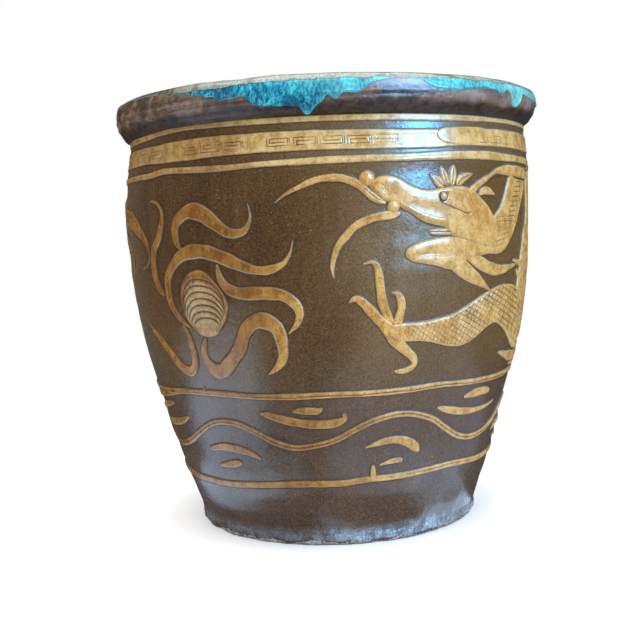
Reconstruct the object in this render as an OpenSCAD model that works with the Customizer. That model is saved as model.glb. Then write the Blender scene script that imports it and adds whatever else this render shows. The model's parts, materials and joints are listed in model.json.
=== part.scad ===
// Martaban jar: a large glazed stoneware storage jar, built from a thrown base
// slab, three luted wall sections and a rolled rim, with applied clay ornament:
// a scaly dragon that chases a flaming pearl between banded borders.
// Frame: +Z up, origin at the centre of the base's underside, front at -Y.
// Angles on the wall are degrees round from the front, positive to the right.

/* [Vessel] */
// Overall height of the jar
jar_h = 482; // [440:1:530]
// Outer radius of the rolled rim
rim_r = 243.5; // [236:0.5:252]
// Outer radius at the shoulder, the widest part of the wall
belly_r = 235.5; // [228:0.5:240]
// Outer radius of the neck, under the rim
neck_r = 228.5; // [222:0.5:230]
// Outer radius of the foot
foot_r = 163; // [150:0.5:178]
// Thickness of the wall
wall_t = 14; // [10:0.5:18]
// Thickness of the base slab
base_t = 14; // [11:0.5:20]
// Radius of the cylindrical throat in the mouth
mouth_r = 204; // [198:0.5:207]
// Height of that throat
throat_h = 18; // [12:1:20]

/* [Ornament] */
// How far the applied clay stands proud of the wall
relief_h = 2.6; // [1.6:0.1:4]
// How far the dragon's body, head and limbs stand proud
dragon_h = 3.4; // [2:0.1:5]
// How far the neck bands stand proud
band_h = 2.0; // [1.2:0.1:3]
// Width of the broad band that carries the stamped meander
meander_w = 20; // [16:0.5:22]
// Thickness of the turquoise glaze where it runs
glaze_h = 1.2; // [0.6:0.1:2]

/* [Hidden] */
$fn = 96;

glaze_brown = [0.20, 0.145, 0.095];
clay_buff = [0.52, 0.46, 0.37];
ochre = [0.74, 0.55, 0.24];
turquoise = [0.10, 0.62, 0.76];

neck_z = jar_h - 39;      // underside of the rim
foot_z = 68;              // first luting joint, under the lower waterline
join_z = 168;             // second luting joint, under the upper waterline
band_z = jar_h - 63;    // middle of the meander band

// ---- the wall's outer profile: [height as a share of neck_z, swell] ----
// swell 0 is the foot's radius and 1 the shoulder's
swell = [[0, 0], [0.027, 0], [0.081, 0.104], [0.136, 0.228], [0.217, 0.373],
  [0.299, 0.503], [0.380, 0.646], [0.462, 0.772], [0.543, 0.868],
  [0.624, 0.933], [0.706, 0.975], [0.787, 0.996], [0.842, 0.998]];
wall_ctrl = concat([for (s = swell) [s[0] * neck_z, foot_r + s[1] * (belly_r - foot_r)]],
  [[0.896 * neck_z, belly_r - 0.27 * (belly_r - neck_r)],
   [0.950 * neck_z, belly_r - 0.73 * (belly_r - neck_r)],
   [0.986 * neck_z, neck_r], [neck_z, neck_r]]);

function cr(a, b, c, d, t) =
  0.5 * (2 * b + (c - a) * t + (2 * a - 5 * b + 4 * c - d) * t * t
    + (3 * b - 3 * c + d - a) * t * t * t);
// A smooth curve through the points p, n steps to each span
function curve(p, n) = let (m = len(p) - 1)
  [for (i = [0:m - 1], k = [0:n - 1])
    cr(p[max(i - 1, 0)], p[i], p[i + 1], p[min(i + 2, m)], k / n), p[m]];

wall_line = curve(wall_ctrl, 4);
wall_table = [for (q = wall_line) [q[0], q[1]]];
function wall_r(z) = lookup(z, wall_table);

// ---- the rim's profile, outside, from the neck up to the flat land ----
rim_out = [[neck_r, 0], [rim_r - 10.5, 1.6], [rim_r - 8, 4], [rim_r - 5.4, 7.4],
  [rim_r - 2.8, 11], [rim_r - 1.2, 15.5], [rim_r - 0.3, 20], [rim_r, 25], [rim_r - 0.7, 30],
  [rim_r - 2.4, 34], [rim_r - 5.6, 37], [rim_r - 9.6, 38.5], [rim_r - 14, 39]];
rim_in = [[mouth_r + 13, 39], [mouth_r + 6, 37.4], [mouth_r + 1.6, 34.4],
  [mouth_r, 31], [mouth_r, 31 - throat_h], [neck_r - wall_t, 4],
  [neck_r - wall_t, 0]];
rim_table = [for (q = curve(rim_out, 2)) [neck_z + q[1], q[0]]];
function rim_surface(z) = lookup(z, rim_table);

// A point on the wall: a degrees round, z up, h proud of the surface
function on_wall(a, z, h) = let (r = wall_r(z) + h) [r * sin(a), -r * cos(a), z];
function on_rim(a, z, h) = let (r = rim_surface(z) + h) [r * sin(a), -r * cos(a), z];
function mm_per_deg(z) = wall_r(z) * PI / 180;

// ---- a closed skin round a list of rings, each ring a list of points ----
module skin(rings) {
  n = len(rings[0]);
  m = len(rings);
  pts = [for (r = rings) each r];
  side = [for (i = [0:m - 2], j = [0:n - 1]) let (a = i * n + j, b = i * n + (j + 1) % n)
    each [[a, b, b + n], [a, b + n, a + n]]];
  first = [for (j = [1:n - 2]) [0, j + 1, j]];
  last = [for (j = [1:n - 2]) [(m - 1) * n, (m - 1) * n + j, (m - 1) * n + j + 1]];
  polyhedron(points = pts, faces = concat(side, first, last), convexity = 6);
}

// One ring across a strip, from edge e to edge f, m spaces wide and h high,
// standing g off the wall
function across(e, f, h, m, g = 0) = let (
    w = norm([(f[0] - e[0]) * mm_per_deg(e[1]), f[1] - e[1]]),
    b = min(0.3, 1.1 / max(w, 1)))
  concat(
    [for (k = [0:m]) let (q = e + (f - e) * k / m) on_wall(q[0], q[1], g)],
    [for (k = [m:-1:0]) let (s = b + (1 - 2 * b) * k / m, q = e + (f - e) * s)
      on_wall(q[0], q[1], g + h)]);

// A strip of clay along points [angle, height, half width], with a fourth
// number where it climbs over a lower piece
module strip(path, h = relief_h, n = 3, m = 1) {
  p = curve(path, n);
  c = len(p) - 1;
  skin([for (i = [0:c]) let (
      q = p[i], k = mm_per_deg(q[1]),
      d = p[min(i + 1, c)] - p[max(i - 1, 0)],
      u = [d[0] * k, d[1]] / norm([d[0] * k, d[1]]),
      w = max(q[2], 0.5))
    across([q[0] + u[1] * w / k, q[1] - u[0] * w],
           [q[0] - u[1] * w / k, q[1] + u[0] * w], h, m, len(q) > 3 ? q[3] : 0)]);
}

// A pad of clay between two edges, each a list of [angle, height]
module pad(e, f, h = relief_h, n = 3, m = 3) {
  a = curve(e, n);
  b = curve(f, n);
  skin([for (i = [0:len(a) - 1]) across(a[i], b[i], h, m)]);
}

// A ring of clay that runs all the way round, through points [angle, height]
module girdle(path, w, h = relief_h, n = 3) {
  m = len(path);
  p = [for (i = [0:m - 1], k = [0:n - 1])
    let (a = path[(i + m - 1) % m] - [i == 0 ? 360 : 0, 0], b = path[i],
      c = path[(i + 1) % m] + [i == m - 1 ? 360 : 0, 0],
      d = path[(i + 2) % m] + [i >= m - 2 ? 360 : 0, 0])
    cr(a, b, c, d, k / n)];
  c = len(p);
  rings = [for (i = [0:c - 1]) let (q = p[i])
    [on_wall(q[0], q[1] - w, 0), on_wall(q[0], q[1] + w, 0),
     on_wall(q[0], q[1] + w - 1, h), on_wall(q[0], q[1] - w + 1, h)]];
  polyhedron(points = [for (r = rings) each r],
    faces = [for (i = [0:c - 1], j = [0:3])
      let (a = i * 4 + j, b = i * 4 + (j + 1) % 4, s = ((i + 1) % c) * 4,
        a2 = s + j, b2 = s + (j + 1) % 4)
      each [[a, b, b2], [a, b2, a2]]], convexity = 10);
}

// A round boss of clay on the wall
module boss(a, z, r, h) {
  translate(on_wall(a, z, -0.4)) rotate([90, 0, a]) {
    cylinder(r = r, h = h * 0.55 + 0.4, $fn = 48);
    translate([0, 0, h * 0.55 + 0.4]) cylinder(r1 = r, r2 = r * 0.72, h = h * 0.45, $fn = 48);
  }
}

// ---- the vessel ----
module base_slab() {
  color(clay_buff) rotate_extrude($fn = 180)
    polygon([[0, 0], [foot_r - 3, 0], [foot_r - 0.8, 2.4], [foot_r, 6],
      [foot_r, base_t], [0, base_t]]);
}

module lower_wall() {
  steps = 12;
  color(glaze_brown) rotate_extrude($fn = 180) polygon(concat(
    [for (i = [0:steps]) let (z = base_t + (foot_z - base_t) * i / steps) [wall_r(z), z]],
    [for (i = [steps:-1:2]) let (z = base_t + (foot_z - base_t) * i / steps)
      [wall_r(z) - wall_t, z]],
    [[wall_r(base_t) - wall_t - 1.5, base_t + 7], [wall_r(base_t) - wall_t - 6, base_t + 2.5],
     [wall_r(base_t) - wall_t - 13, base_t]]));
}

// A thrown section of the wall, from one luting joint to the next
module wall_section(low, high, steps) {
  color(glaze_brown) rotate_extrude($fn = 180) polygon(concat(
    [for (i = [0:steps]) let (z = low + (high - low) * i / steps) [wall_r(z), z]],
    [for (i = [steps:-1:0]) let (z = low + (high - low) * i / steps)
      [wall_r(z) - wall_t, z]]));
}

module middle_wall() { wall_section(foot_z, join_z, 16); }

module upper_wall() { wall_section(join_z, neck_z, 30); }

module rolled_rim() {
  color(glaze_brown) translate([0, 0, neck_z]) rotate_extrude($fn = 180)
    polygon(concat([for (q = curve(rim_out, 2)) q], rim_in));
}

// Thick glaze over the lip: [angle, how far down the rim it has run]
glaze_patches = [
  [[-40, 36], [-36, 32], [-32, 26], [-28, 21], [-24, 18], [-20, 19], [-17, 17],
   [-15, 10], [-11, 10], [-8, 9], [-5, 3.5], [-3.4, 3.5], [-1, 10], [2, 14], [5, 17], [8, 20],
   [10, 28], [13, 33]],
  [[22, 34], [25, 26], [30, 23], [37, 24], [43, 26], [48, 22], [51, 24], [53, 15],
   [55, 11], [57, 15], [60, 25], [66, 26], [72, 24], [78, 29], [84, 34]],
  [[118, 35], [124, 27], [132, 20], [137, 15], [140, 22], [148, 27], [156, 24],
   [163, 18], [167, 24], [175, 30], [182, 35]],
  [[222, 35], [229, 25], [236, 22], [241, 13], [244, 21], [252, 27], [259, 33]]];
module turquoise_glaze_runs() {
  color(turquoise) for (p = glaze_patches) {
    q = curve(p, 2);
    top = 39;
    skin([for (g = q) concat(
      [for (k = [0:5]) on_rim(g[0], neck_z + g[1] + (top - g[1]) * k / 5, 0.02)],
      [for (k = [5:-1:0]) let (s = k == 0 ? 0.12 : k == 5 ? 4.8 : k)
        on_rim(g[0], neck_z + g[1] + (top - g[1]) * s / 5, glaze_h)])]);
  }
}

// ---- neck bands ----
module hoop(z0, z1, h, from = 0, turn = 360) {
  rotate([0, 0, from - 90]) rotate_extrude(angle = turn, $fn = 180)
    polygon([[wall_r(z0), z0], [wall_r(z0 + 0.8) + h, z0 + 0.8],
      [wall_r((z0 + z1) / 2) + h, (z0 + z1) / 2],
      [wall_r(z1 - 0.8) + h, z1 - 0.8], [wall_r(z1), z1], [wall_r((z0 + z1) / 2), (z0 + z1) / 2]]);
}
module neck_fillet_upper() { color(ochre) hoop(band_z + 17, band_z + 23, band_h); }
module neck_fillet_lower() { color(ochre) hoop(band_z - 23.6, band_z - 16.6, band_h); }

// One long strip, its rounded end pressed over its own beginning
lap_a = 28.3;
meander_path = concat(
  [[lap_a, band_z + 2, 1.4, band_h + 0.15], [lap_a + 0.6, band_z + 2, 5, band_h + 0.15],
   [lap_a + 1.8, band_z + 1.6, 8.4, band_h + 0.15], [lap_a + 3.4, band_z + 1.2, meander_w / 2, band_h + 0.15],
   [lap_a + 5.6, band_z + 0.8, meander_w / 2, band_h * 0.6]],
  [for (a = [37:5:387]) [a, band_z, meander_w / 2, 0]],
  [[lap_a + 362.4, band_z, meander_w / 2, 0]]);
module meander_band() { color(ochre) strip(meander_path, band_h, 1, 1); }

// ---- sea border ----
line_a = [[-170, 168], [-140, 169], [-110, 168], [-85, 167], [-60, 166.4], [-50, 168.4], [-40, 169],
  [-20, 167.6], [0, 169.4], [14, 168.4], [30, 171], [44, 168.4], [60, 167], [80, 168],
  [110, 169.6], [140, 168], [165, 167]];
line_b = [[-170, 72], [-140, 70], [-110, 68], [-85, 67], [-60, 66.4], [-40, 66.6], [-25, 68],
  [-10, 71], [0, 72], [10, 75.6], [25, 75.6], [40, 77], [60, 75], [80, 74], [110, 73], [140, 74],
  [165, 73]];
wave = [[-172, 139], [-160, 124], [-148, 112], [-136, 123], [-124, 140], [-112, 122],
  [-101, 109], [-93, 124], [-86, 136], [-76, 114], [-68, 100], [-60, 104], [-52, 113.6], [-44, 128], [-35, 137],
  [-27, 131.6], [-18, 117], [-11, 112.4], [-4, 116], [5, 129], [12, 139.4], [18, 143.4],
  [24, 141], [31, 131], [38, 116], [44, 108], [50, 105], [57, 109], [65, 120], [74, 136],
  [83, 130], [93, 110], [100, 106], [108, 116], [118, 136], [127, 139], [137, 120], [148, 108],
  [158, 118], [170, 136]];
module waterline_upper() { color(ochre) girdle(line_a, 3.3); }
module waterline_lower() {
  color(ochre) {
    girdle(line_b, 3.2);
    strip([[11.2, 79.6, 3.2], [11.1, 84, 2.7], [11, 89.6, 1.4]], relief_h * 0.8, 3, 1);
  }
}
module wave_line() { color(ochre) girdle(wave, 3.3, relief_h, 2); }

dashes_up = [
  [[-22, 149, 1.5], [-19, 147, 3.4], [-14, 142, 4], [-8, 138.6, 4.3], [-3, 138, 4.3], [1, 140, 4], [2.4, 146, 2.4]],
  [[-12, 152, 1], [-9, 153.4, 3.4], [-6.6, 153.4, 3.8], [-4.6, 155, 1.4]],
  [[31.4, 146, 1.5], [34, 143, 3.6], [38, 139, 4], [43, 135.6, 3.8], [48, 134.4, 3.5], [54, 134.6, 3], [60, 138, 1.4]],
  [[41, 152, 1.5], [45, 153.6, 3.4], [50, 154.4, 4], [55, 152.6, 1.4]],
  [[-75, 153, 4.4], [-65, 157, 4.4], [-56, 160.2, 3.4], [-51, 162.2, 1]],
  [[-78, 140, 3], [-70, 145, 3.2], [-61, 151, 1.2]],
  [[-76, 126, 3.2], [-70, 125, 3.6], [-62, 128, 4], [-57, 133, 3], [-53, 137, 1.2]],
  [[86, 146, 1.4], [91, 140, 3.8], [98, 135, 4.2], [106, 138, 3.6], [112, 146, 1.4]],
  [[94, 154, 1.2], [99, 153, 3.6], [105, 155, 1.2]],
  [[137, 147, 1.4], [142, 141, 3.8], [149, 138, 4.2], [156, 141, 3.6], [162, 149, 1.4]],
  [[145, 155, 1.2], [150, 154, 3.6], [155, 156, 1.2]],
  [[189, 152, 1.4], [194, 145, 3.6], [202, 141, 4.2], [210, 142, 3.8], [217, 150, 1.4]],
  [[198, 157, 1.2], [204, 156, 3.4], [210, 158, 1.2]],
  [[250, 141, 3.8], [256, 139, 4.2], [262, 142, 3.4], [266, 148, 1.4]]];
dashes_low = [
  [[-45, 106, 1.5], [-42, 108, 4], [-37, 108.6, 4.4], [-31, 106.6, 4], [-27, 102.6, 3.4], [-24.4, 98.4, 1]],
  [[-41.6, 88, 1.6], [-38, 89.4, 3.6], [-34, 91.4, 3.4], [-32, 93, 1.2]],
  [[8.4, 110, 1], [12, 113, 3], [16, 115.4, 3.5], [20, 114, 4.2], [23, 110, 5], [25, 105, 4.6], [26, 99.6, 1]],
  [[13, 89.4, 1], [16, 92, 2.6], [18.6, 93.4, 3.2], [20.6, 93, 1.6]],
  [[65, 101, 1.4], [70, 107, 3.8], [76, 108, 4.2], [82, 104, 3.4], [86, 97, 1.2]],
  [[70, 90, 1.2], [75, 92, 3.4], [80, 90, 1.2]],
  [[114, 104, 1.4], [119, 111, 3.8], [125, 112, 4.2], [131, 107, 3.4], [135, 99, 1.2]],
  [[119, 92, 1.2], [124, 94, 3.4], [129, 92, 1.2]],
  [[168, 103, 1.4], [173, 110, 3.8], [180, 111, 4.2], [186, 106, 3.4], [190, 98, 1.2]],
  [[174, 91, 1.2], [179, 93, 3.4], [184, 91, 1.2]],
  [[226, 105, 1.4], [231, 112, 3.8], [237, 113, 4.2], [242, 108, 3.4], [245, 101, 1.2]],
  [[230, 93, 1.2], [235, 95, 3.4], [240, 93, 1.2]],
  [[268, 102, 1.4], [272, 108, 3.4], [276, 108, 3.6], [280, 100, 1.2]]];
module wave_dashes_upper() { color(ochre) for (d = dashes_up) strip(d, relief_h, 2, 1); }
module wave_dashes_lower() { color(ochre) for (d = dashes_low) strip(d, relief_h, 2, 1); }

// ---- flaming pearl ----
pearl_left = [[-36.4, 231], [-39.4, 239], [-41.2, 249], [-42.2, 261], [-42.2, 274], [-41, 286], [-38.6, 296]];
pearl_right = [[-33, 230.6], [-29.6, 239], [-27.9, 249], [-27.2, 261], [-27.9, 274], [-30, 286], [-34.6, 297.6]];
flame_crown_p = [[-41.2, 323, 2.2], [-42.3, 333, 4.6], [-41.8, 345, 5], [-39.2, 355, 6.6], [-35.6, 358.4, 7.8],
  [-31.4, 352, 7], [-28.2, 342, 6], [-25.6, 335, 4.6], [-23, 332.4, 3.8], [-20.8, 335, 2.6], [-19.7, 342, 1.8],
  [-19.3, 351, 1.2], [-19.7, 360, 0.6]];
flame_arc_p = [[-40.6, 240, 1.8], [-43, 245, 3.6], [-45.6, 254, 5], [-47.2, 264, 5.6], [-47.6, 276, 5.6], [-46.8, 289, 5.6],
  [-44.9, 300, 5.8], [-42, 309, 6.4], [-38, 315.4, 7], [-34, 317.2, 7.6], [-30, 315, 7.4], [-25.4, 308, 6.2],
  [-21, 300.4, 5], [-17, 296.4, 3.8], [-13.6, 296.6, 3], [-11, 301, 2.2], [-9.6, 309, 1.5], [-8.8, 322, 0.6]];
flame_middle_p = [[-29.3, 304, 1.6], [-28.4, 294, 3.2], [-26.4, 284, 5], [-23, 276.6, 5.6], [-18, 274, 6], [-13, 272.6, 6],
  [-10, 268, 5.6], [-8.2, 260, 4.6], [-8.2, 250, 3.8], [-9.4, 241.6, 2.6], [-11.2, 234.6, 0.8]];
flame_arch_p = [[-35.6, 228, 3], [-36.6, 218, 4.8], [-36.5, 207, 5.4], [-34.6, 197, 5.6], [-31.6, 190.6, 6], [-28.6, 193.6, 6.4],
  [-26.2, 203, 6.8], [-24.6, 215, 7], [-23.2, 228, 7.4], [-21.3, 239.4, 7.6], [-18.2, 245.6, 7.6], [-15, 241, 7], [-13, 230, 6.4],
  [-12.8, 218, 5.6], [-13.8, 207, 5], [-15.3, 198.6, 3.8], [-17.4, 192.6, 1]];
flame_hook_p = [[-41.9, 238, 2.2], [-41.2, 228, 4], [-40.8, 215, 5], [-41.2, 203, 5.6], [-43.6, 194.6, 6], [-46.6, 193.6, 6],
  [-49.6, 200, 5.4], [-53, 212, 4.6], [-56.4, 224, 4], [-59.4, 233, 3.2], [-62, 240, 1.2]];
flame_snake_p = [[-49.6, 272.6, 1.8], [-51.6, 279, 3.6], [-53, 289, 5], [-53.2, 301, 5.6], [-52.8, 313, 5.6], [-51.4, 325, 5.4],
  [-49.7, 336, 4.8], [-48.2, 346, 3.8], [-47.7, 355, 3], [-48.4, 362.6, 2.4], [-50.2, 368.4, 1.8], [-52.6, 371.4, 0.8]];
module pearl() { color(ochre) pad(pearl_left, pearl_right, relief_h * 1.15, 3, 6); }
module flame_crown() { color(ochre) strip(flame_crown_p, relief_h, 2, 2); }
module flame_arc() { color(ochre) strip(flame_arc_p, relief_h, 2, 2); }
module flame_middle() { color(ochre) strip(flame_middle_p, relief_h, 2, 1); }
module flame_arch() { color(ochre) strip(flame_arch_p, relief_h, 2, 2); }
module flame_hook() { color(ochre) strip(flame_hook_p, relief_h, 2, 1); }
module flame_snake() { color(ochre) strip(flame_snake_p, relief_h, 2, 1); }

// ---- dragon's head ----
skull_top = [[11, 372], [12.6, 380], [15.4, 382], [18, 378], [20.6, 371], [24, 367.6], [28, 369],
  [32, 370], [36, 370], [39.6, 367], [42, 360], [43.4, 353], [45, 346], [46.4, 340]];
skull_low = [[12, 366], [13.8, 359], [16, 358], [17.8, 353], [20, 348], [22.4, 341.6], [25, 336.6],
  [28, 332.6], [30.4, 329.4], [32.4, 325.6], [35, 322.6], [38, 321], [41, 321], [44, 323]];
jaw_top = [[19, 308], [20.4, 313.6], [22.6, 318], [25.6, 320], [29, 319.6], [32, 321], [35, 320.6], [38, 319.4], [41, 319.4]];
jaw_low = [[18.7, 304], [19.6, 299.8], [22, 297.4], [25.6, 296.2], [29, 293.6], [32.4, 291], [35.6, 297], [38.8, 300], [42, 303]];
beard_short_e = [[31, 291.6], [33.6, 284], [37.4, 275.4], [41.4, 269], [45.6, 263]];
beard_short_f = [[34.8, 296], [37.2, 291], [40, 284.6], [43, 277], [46.1, 264]];
beard_long_p = [[38, 296, 4.6], [42, 290, 6.4], [46, 286, 5.6], [50.6, 284.6, 4.8], [55, 286, 3.6], [58.6, 290, 1.2]];
tongue_p = [[30.6, 326.4, 3.4], [28.6, 326.6, 3.6], [26.4, 326.4, 3], [24.8, 326.4, 1.2]];
antler_p = [[38, 372.6, 3.4, 0], [40.8, 375.4, 3.8, 0], [43.4, 378.6, 3.4, 0], [46, 383, 2.4, 0], [49, 387, 2.6, 0],
  [52, 388.4, 3.4, 0], [54.6, 388.6, 4, 0.6], [57.4, 388.4, 4.4, dragon_h + 0.1], [60.4, 388, 4.4, dragon_h + 0.1],
  [64, 387, 3.8, dragon_h + 0.1], [68, 385, 1.4, dragon_h + 0.1]];
ear_p = [[41.4, 366.2, 2.6], [43, 367.4, 3.4], [45, 366, 3], [47.6, 362.6, 1]];
crest_lobes = [
  [[29, 373.6, 2.6], [27.6, 378, 3], [26, 383.4, 1]],
  [[30.4, 374.6, 2.2], [29.6, 382, 3], [29.2, 390, 1]],
  [[31.9, 374.6, 2.2], [32.4, 384, 3.6], [32.2, 393.2, 1]],
  [[33.6, 374.6, 2.2], [35.4, 379, 3], [38.6, 383, 1]]];
whisker_up_p = [[-12.4, 362, 0.6], [-9, 369, 1.2], [-5, 377, 2.6], [-1, 381.8, 3.4], [3, 382.4, 3.8], [5.8, 379, 3.8],
  [8, 372, 3.8], [10, 366, 3.2], [12, 360.4, 2]];
whisker_low_p = [[14.6, 345.6, 2.6], [12, 343, 3.8], [8.6, 338, 4], [5.6, 331, 3.8], [3.4, 322, 3.4], [1.8, 312, 3],
  [0.9, 302, 2.4], [0.5, 294, 1.8], [0.7, 287, 0.7]];
module dragon_skull() { color(ochre) pad(skull_top, skull_low, dragon_h, 2, 5); }
module dragon_jaw() { color(ochre) pad(jaw_top, jaw_low, dragon_h, 2, 3); }
module dragon_beard() {
  color(ochre) { pad(beard_short_e, beard_short_f, relief_h, 2, 2); strip(beard_long_p, relief_h, 2, 1); }
}
module dragon_tongue() { color(ochre) strip(tongue_p, relief_h, 2, 1); }
module dragon_nose_ball() { color(ochre) boss(9.4, 380.4, 6.6, dragon_h * 1.3); }
module dragon_chin_knob() { color(ochre) boss(15.4, 351.6, 5.2, dragon_h * 1.2); }
module dragon_eye() { color(ochre) boss_on(29.8, 361, 4.6, 2.2); }
module boss_on(a, z, r, h) {
  translate(on_wall(a, z, dragon_h)) rotate([90, 0, a]) {
    cylinder(r = r, h = h * 0.5, $fn = 48);
    translate([0, 0, h * 0.5]) cylinder(r1 = r, r2 = r * 0.6, h = h * 0.5, $fn = 48);
  }
}
module dragon_ear() { color(ochre) strip(ear_p, relief_h, 2, 1); }
module dragon_antler() { color(ochre) strip(antler_p, relief_h, 2, 1); }
module dragon_crest() { color(ochre) for (c = crest_lobes) strip(c, relief_h, 3, 1); }
module whisker_upper() { color(ochre) strip(whisker_up_p, relief_h * 0.9, 2, 1); }
module whisker_lower() { color(ochre) strip(whisker_low_p, relief_h * 0.9, 2, 1); }

// ---- dragon's neck and body: the neck rises under the lower neck band, and
// the body comes down again from there and winds round the back to the tail ----
top_z = band_z - 26;
neck_e = [[46.9, 339.6], [48.2, 344], [49.7, 348], [50.8, 353], [51.6, 358], [52.6, 364], [53.3, 370],
  [54.4, 377], [55.6, 384], [57.4, top_z]];
neck_f = [[43.6, 303.4], [49, 300.8], [52.7, 305], [56, 315], [58.8, 325], [61, 337], [62.9, 348],
  [65.2, 359], [67.2, 371], [69.4, top_z]];
body_p = [[75.4, top_z, 21.6], [76.8, 370, 21.8], [77, 345, 22.5], [74.4, 318, 24.5], [71, 292, 28], [69.6, 272, 30],
  [71, 250, 31], [77, 230, 28], [86, 222, 25], [97, 222, 23],
  [106, 231, 22], [113, 252, 22], [120, 280, 22], [128, 304, 21], [139, 312, 20], [149, 300, 20], [156, 274, 19],
  [163, 248, 19], [172, 233, 18], [182, 236, 18], [190, 256, 17], [197, 282, 16], [205, 303, 15], [215, 311, 14],
  [225, 301, 12.4], [232, 280, 11], [239, 260, 9.6], [247, 249, 8.4], [255, 253, 7.2], [261, 268, 6.2],
  [266, 286, 5.2], [271, 304, 4.4], [275, 322, 3.6], [279, 338, 2.8]];
fins = [
  [[82.8, 366, 4.4], [87.8, 373, 1.2]], [[83.2, 346, 4.4], [88.6, 350, 1.2]],
  [[82.2, 321, 4.6], [87.6, 327, 1.2]], [[80, 299, 4.6], [85.4, 305, 1.2]], [[78.8, 280, 4.6], [84, 286, 1.2]],
  [[81, 262.6, 4.6], [85.4, 270.4, 1.2]], [[87.6, 250, 4.6], [90.6, 259, 1.2]], [[97, 248, 4.6], [99, 257.6, 1.2]],
  [[119.6, 243, 4.4], [125, 239, 1.2]], [[126, 265, 4.4], [131.4, 262, 1.2]],
  [[132.4, 284, 4.4], [136.6, 277, 1.2]], [[140, 289, 4.2], [141, 279, 1.2]],
  [[161.6, 290, 4], [166.6, 295, 1.2]], [[167, 268, 4], [171.4, 275, 1.2]], [[174.6, 255, 4], [176.6, 264, 1.2]],
  [[196, 248, 3.8], [201, 244, 1.2]], [[202.6, 270, 3.8], [207.6, 266, 1.2]], [[210, 287, 3.6], [213, 279, 1.2]],
  [[228, 316, 3.2], [232.6, 321, 1.2]], [[237, 290, 3], [241.4, 294, 1.2]], [[244, 268, 2.8], [247.6, 274, 1.2]]];
shoulder_wisps = [[[63.4, 288.6, 3.4], [60.6, 291, 2.6], [57.6, 293, 1]], [[61.9, 277.6, 2.6], [60.4, 282.6, 1]]];
tuft = [
  [[-80.6, 345, 2.6], [-80.8, 356, 4.6], [-79, 369, 4.2], [-75, 379, 1]],
  [[-78.6, 342, 3], [-76.4, 351, 6], [-72.4, 357, 8.6], [-67.6, 354, 9.4], [-63, 346, 8.6], [-59, 337, 6.6],
   [-56.4, 329, 4], [-55.1, 320, 1.9], [-55.2, 311, 1.4], [-57, 304, 1.2], [-60.4, 300, 0.7]],
  [[-79, 333, 3], [-75.4, 329, 5], [-71.4, 321, 5], [-68.6, 309, 4], [-68.4, 297, 2.4], [-70.6, 288, 0.8]],
  [[276.6, 346, 2.6], [273, 356, 5], [270.6, 367, 4.4], [271, 378, 1]]];
module dragon_neck() { color(ochre) pad(neck_e, neck_f, dragon_h, 2, 5); }
module dragon_shoulder_wisps() { color(ochre) for (w = shoulder_wisps) strip(w, relief_h, 2, 1); }
module dragon_body() { color(ochre) strip(body_p, dragon_h, 2, 5); }
module dragon_dorsal_fins() { color(ochre) for (f = fins) strip(f, relief_h, 2, 1); }
module tail_tuft() { color(ochre) for (t = tuft) strip(t, relief_h, 2, 1); }

// ---- dragon's legs: [angle, height] edges, claws as strips ----
leg_near_top = [[13.4, 233], [14.8, 237.6], [17.4, 239.4], [22, 238], [27, 240], [32, 243.4], [36, 249], [40.4, 256], [45, 262.8],
  [50, 267], [54.6, 268], [59.6, 264], [62, 254], [65, 231], [69, 214]];
leg_near_low = [[13.8, 227], [15, 221.6], [18, 219], [22, 218.8], [25.4, 217], [28.8, 213.4], [32.4, 210], [36.4, 209.4], [40.4, 213.4],
  [44, 221], [47, 226.4], [52, 227], [57, 216], [64.4, 198], [70.4, 193.6]];
claws_near = [
  [[14.3, 243.6, 4.8], [13, 256, 4.8], [12, 270, 4.4], [11.3, 284, 4.2], [10.5, 295, 3.2], [9.3, 299.4, 2], [8, 298.6, 0.8]],
  [[12, 238.4, 5.4], [9.7, 246.4, 5.2], [8, 254, 4.8], [6.5, 260.6, 4.2], [5.4, 264, 2.8], [4.2, 262.4, 0.8]],
  [[17.2, 243.6, 4.2], [17.4, 251, 4.2], [17.1, 259, 3.8], [16.3, 265.4, 2.8], [15, 268.8, 1]],
  [[17, 213.6, 5], [19, 208, 5], [20.9, 202.6, 4.2], [21.7, 197.4, 3.6], [21.2, 192.6, 3.2], [19.4, 189.4, 2.8], [16.8, 188.8, 1]]];
leg_far_top = [[90.6, 195.6], [86.4, 194.6], [82.4, 192.6], [79, 189.8]];
leg_far_low = [[92, 186], [87, 179.8], [83, 177.4], [79.6, 179.8]];
claws_far = [
  [[77.4, 185, 4.6], [72, 184.6, 5.6], [66, 186, 5.6], [60.6, 189.2, 4.2], [57, 192.4, 2.4], [55, 194.2, 0.8]],
  [[78.6, 176.8, 2.4], [75.4, 175.4, 2.2], [71, 174.8, 1.8], [67, 176.2, 0.8]],
  [[79.4, 194, 2.4], [77, 195.6, 2.4], [74.6, 195.6, 1.8], [72.6, 193.8, 0.8]]];
leg_back_top = [[125, 280], [121.4, 268], [120.6, 254], [123, 240], [128, 228], [135, 222]];
leg_back_low = [[134.6, 286], [133, 276], [131.6, 264], [133.4, 252], [137, 243], [142, 236]];
claws_back = [
  [[134.4, 216.8, 4], [131, 208.6, 4.2], [128, 199, 3.2], [128.6, 189, 1]],
  [[138.6, 217.6, 4.4], [139.8, 207, 4.4], [139, 196, 3.4], [136.6, 186, 1]],
  [[142.8, 226, 4.4], [147.4, 217.6, 4.2], [149.6, 208, 3.4], [148.6, 199, 1]],
  [[146, 237, 4.4], [151.6, 234.4, 4.2], [155.6, 228, 3.2], [157, 219, 1]]];
leg_last_top = [[196, 300], [190, 306], [184, 318], [181, 332], [176, 344], [169, 350]];
leg_last_low = [[188, 285], [180, 290], [174, 300], [170, 314], [167, 326], [163, 334]];
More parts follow.
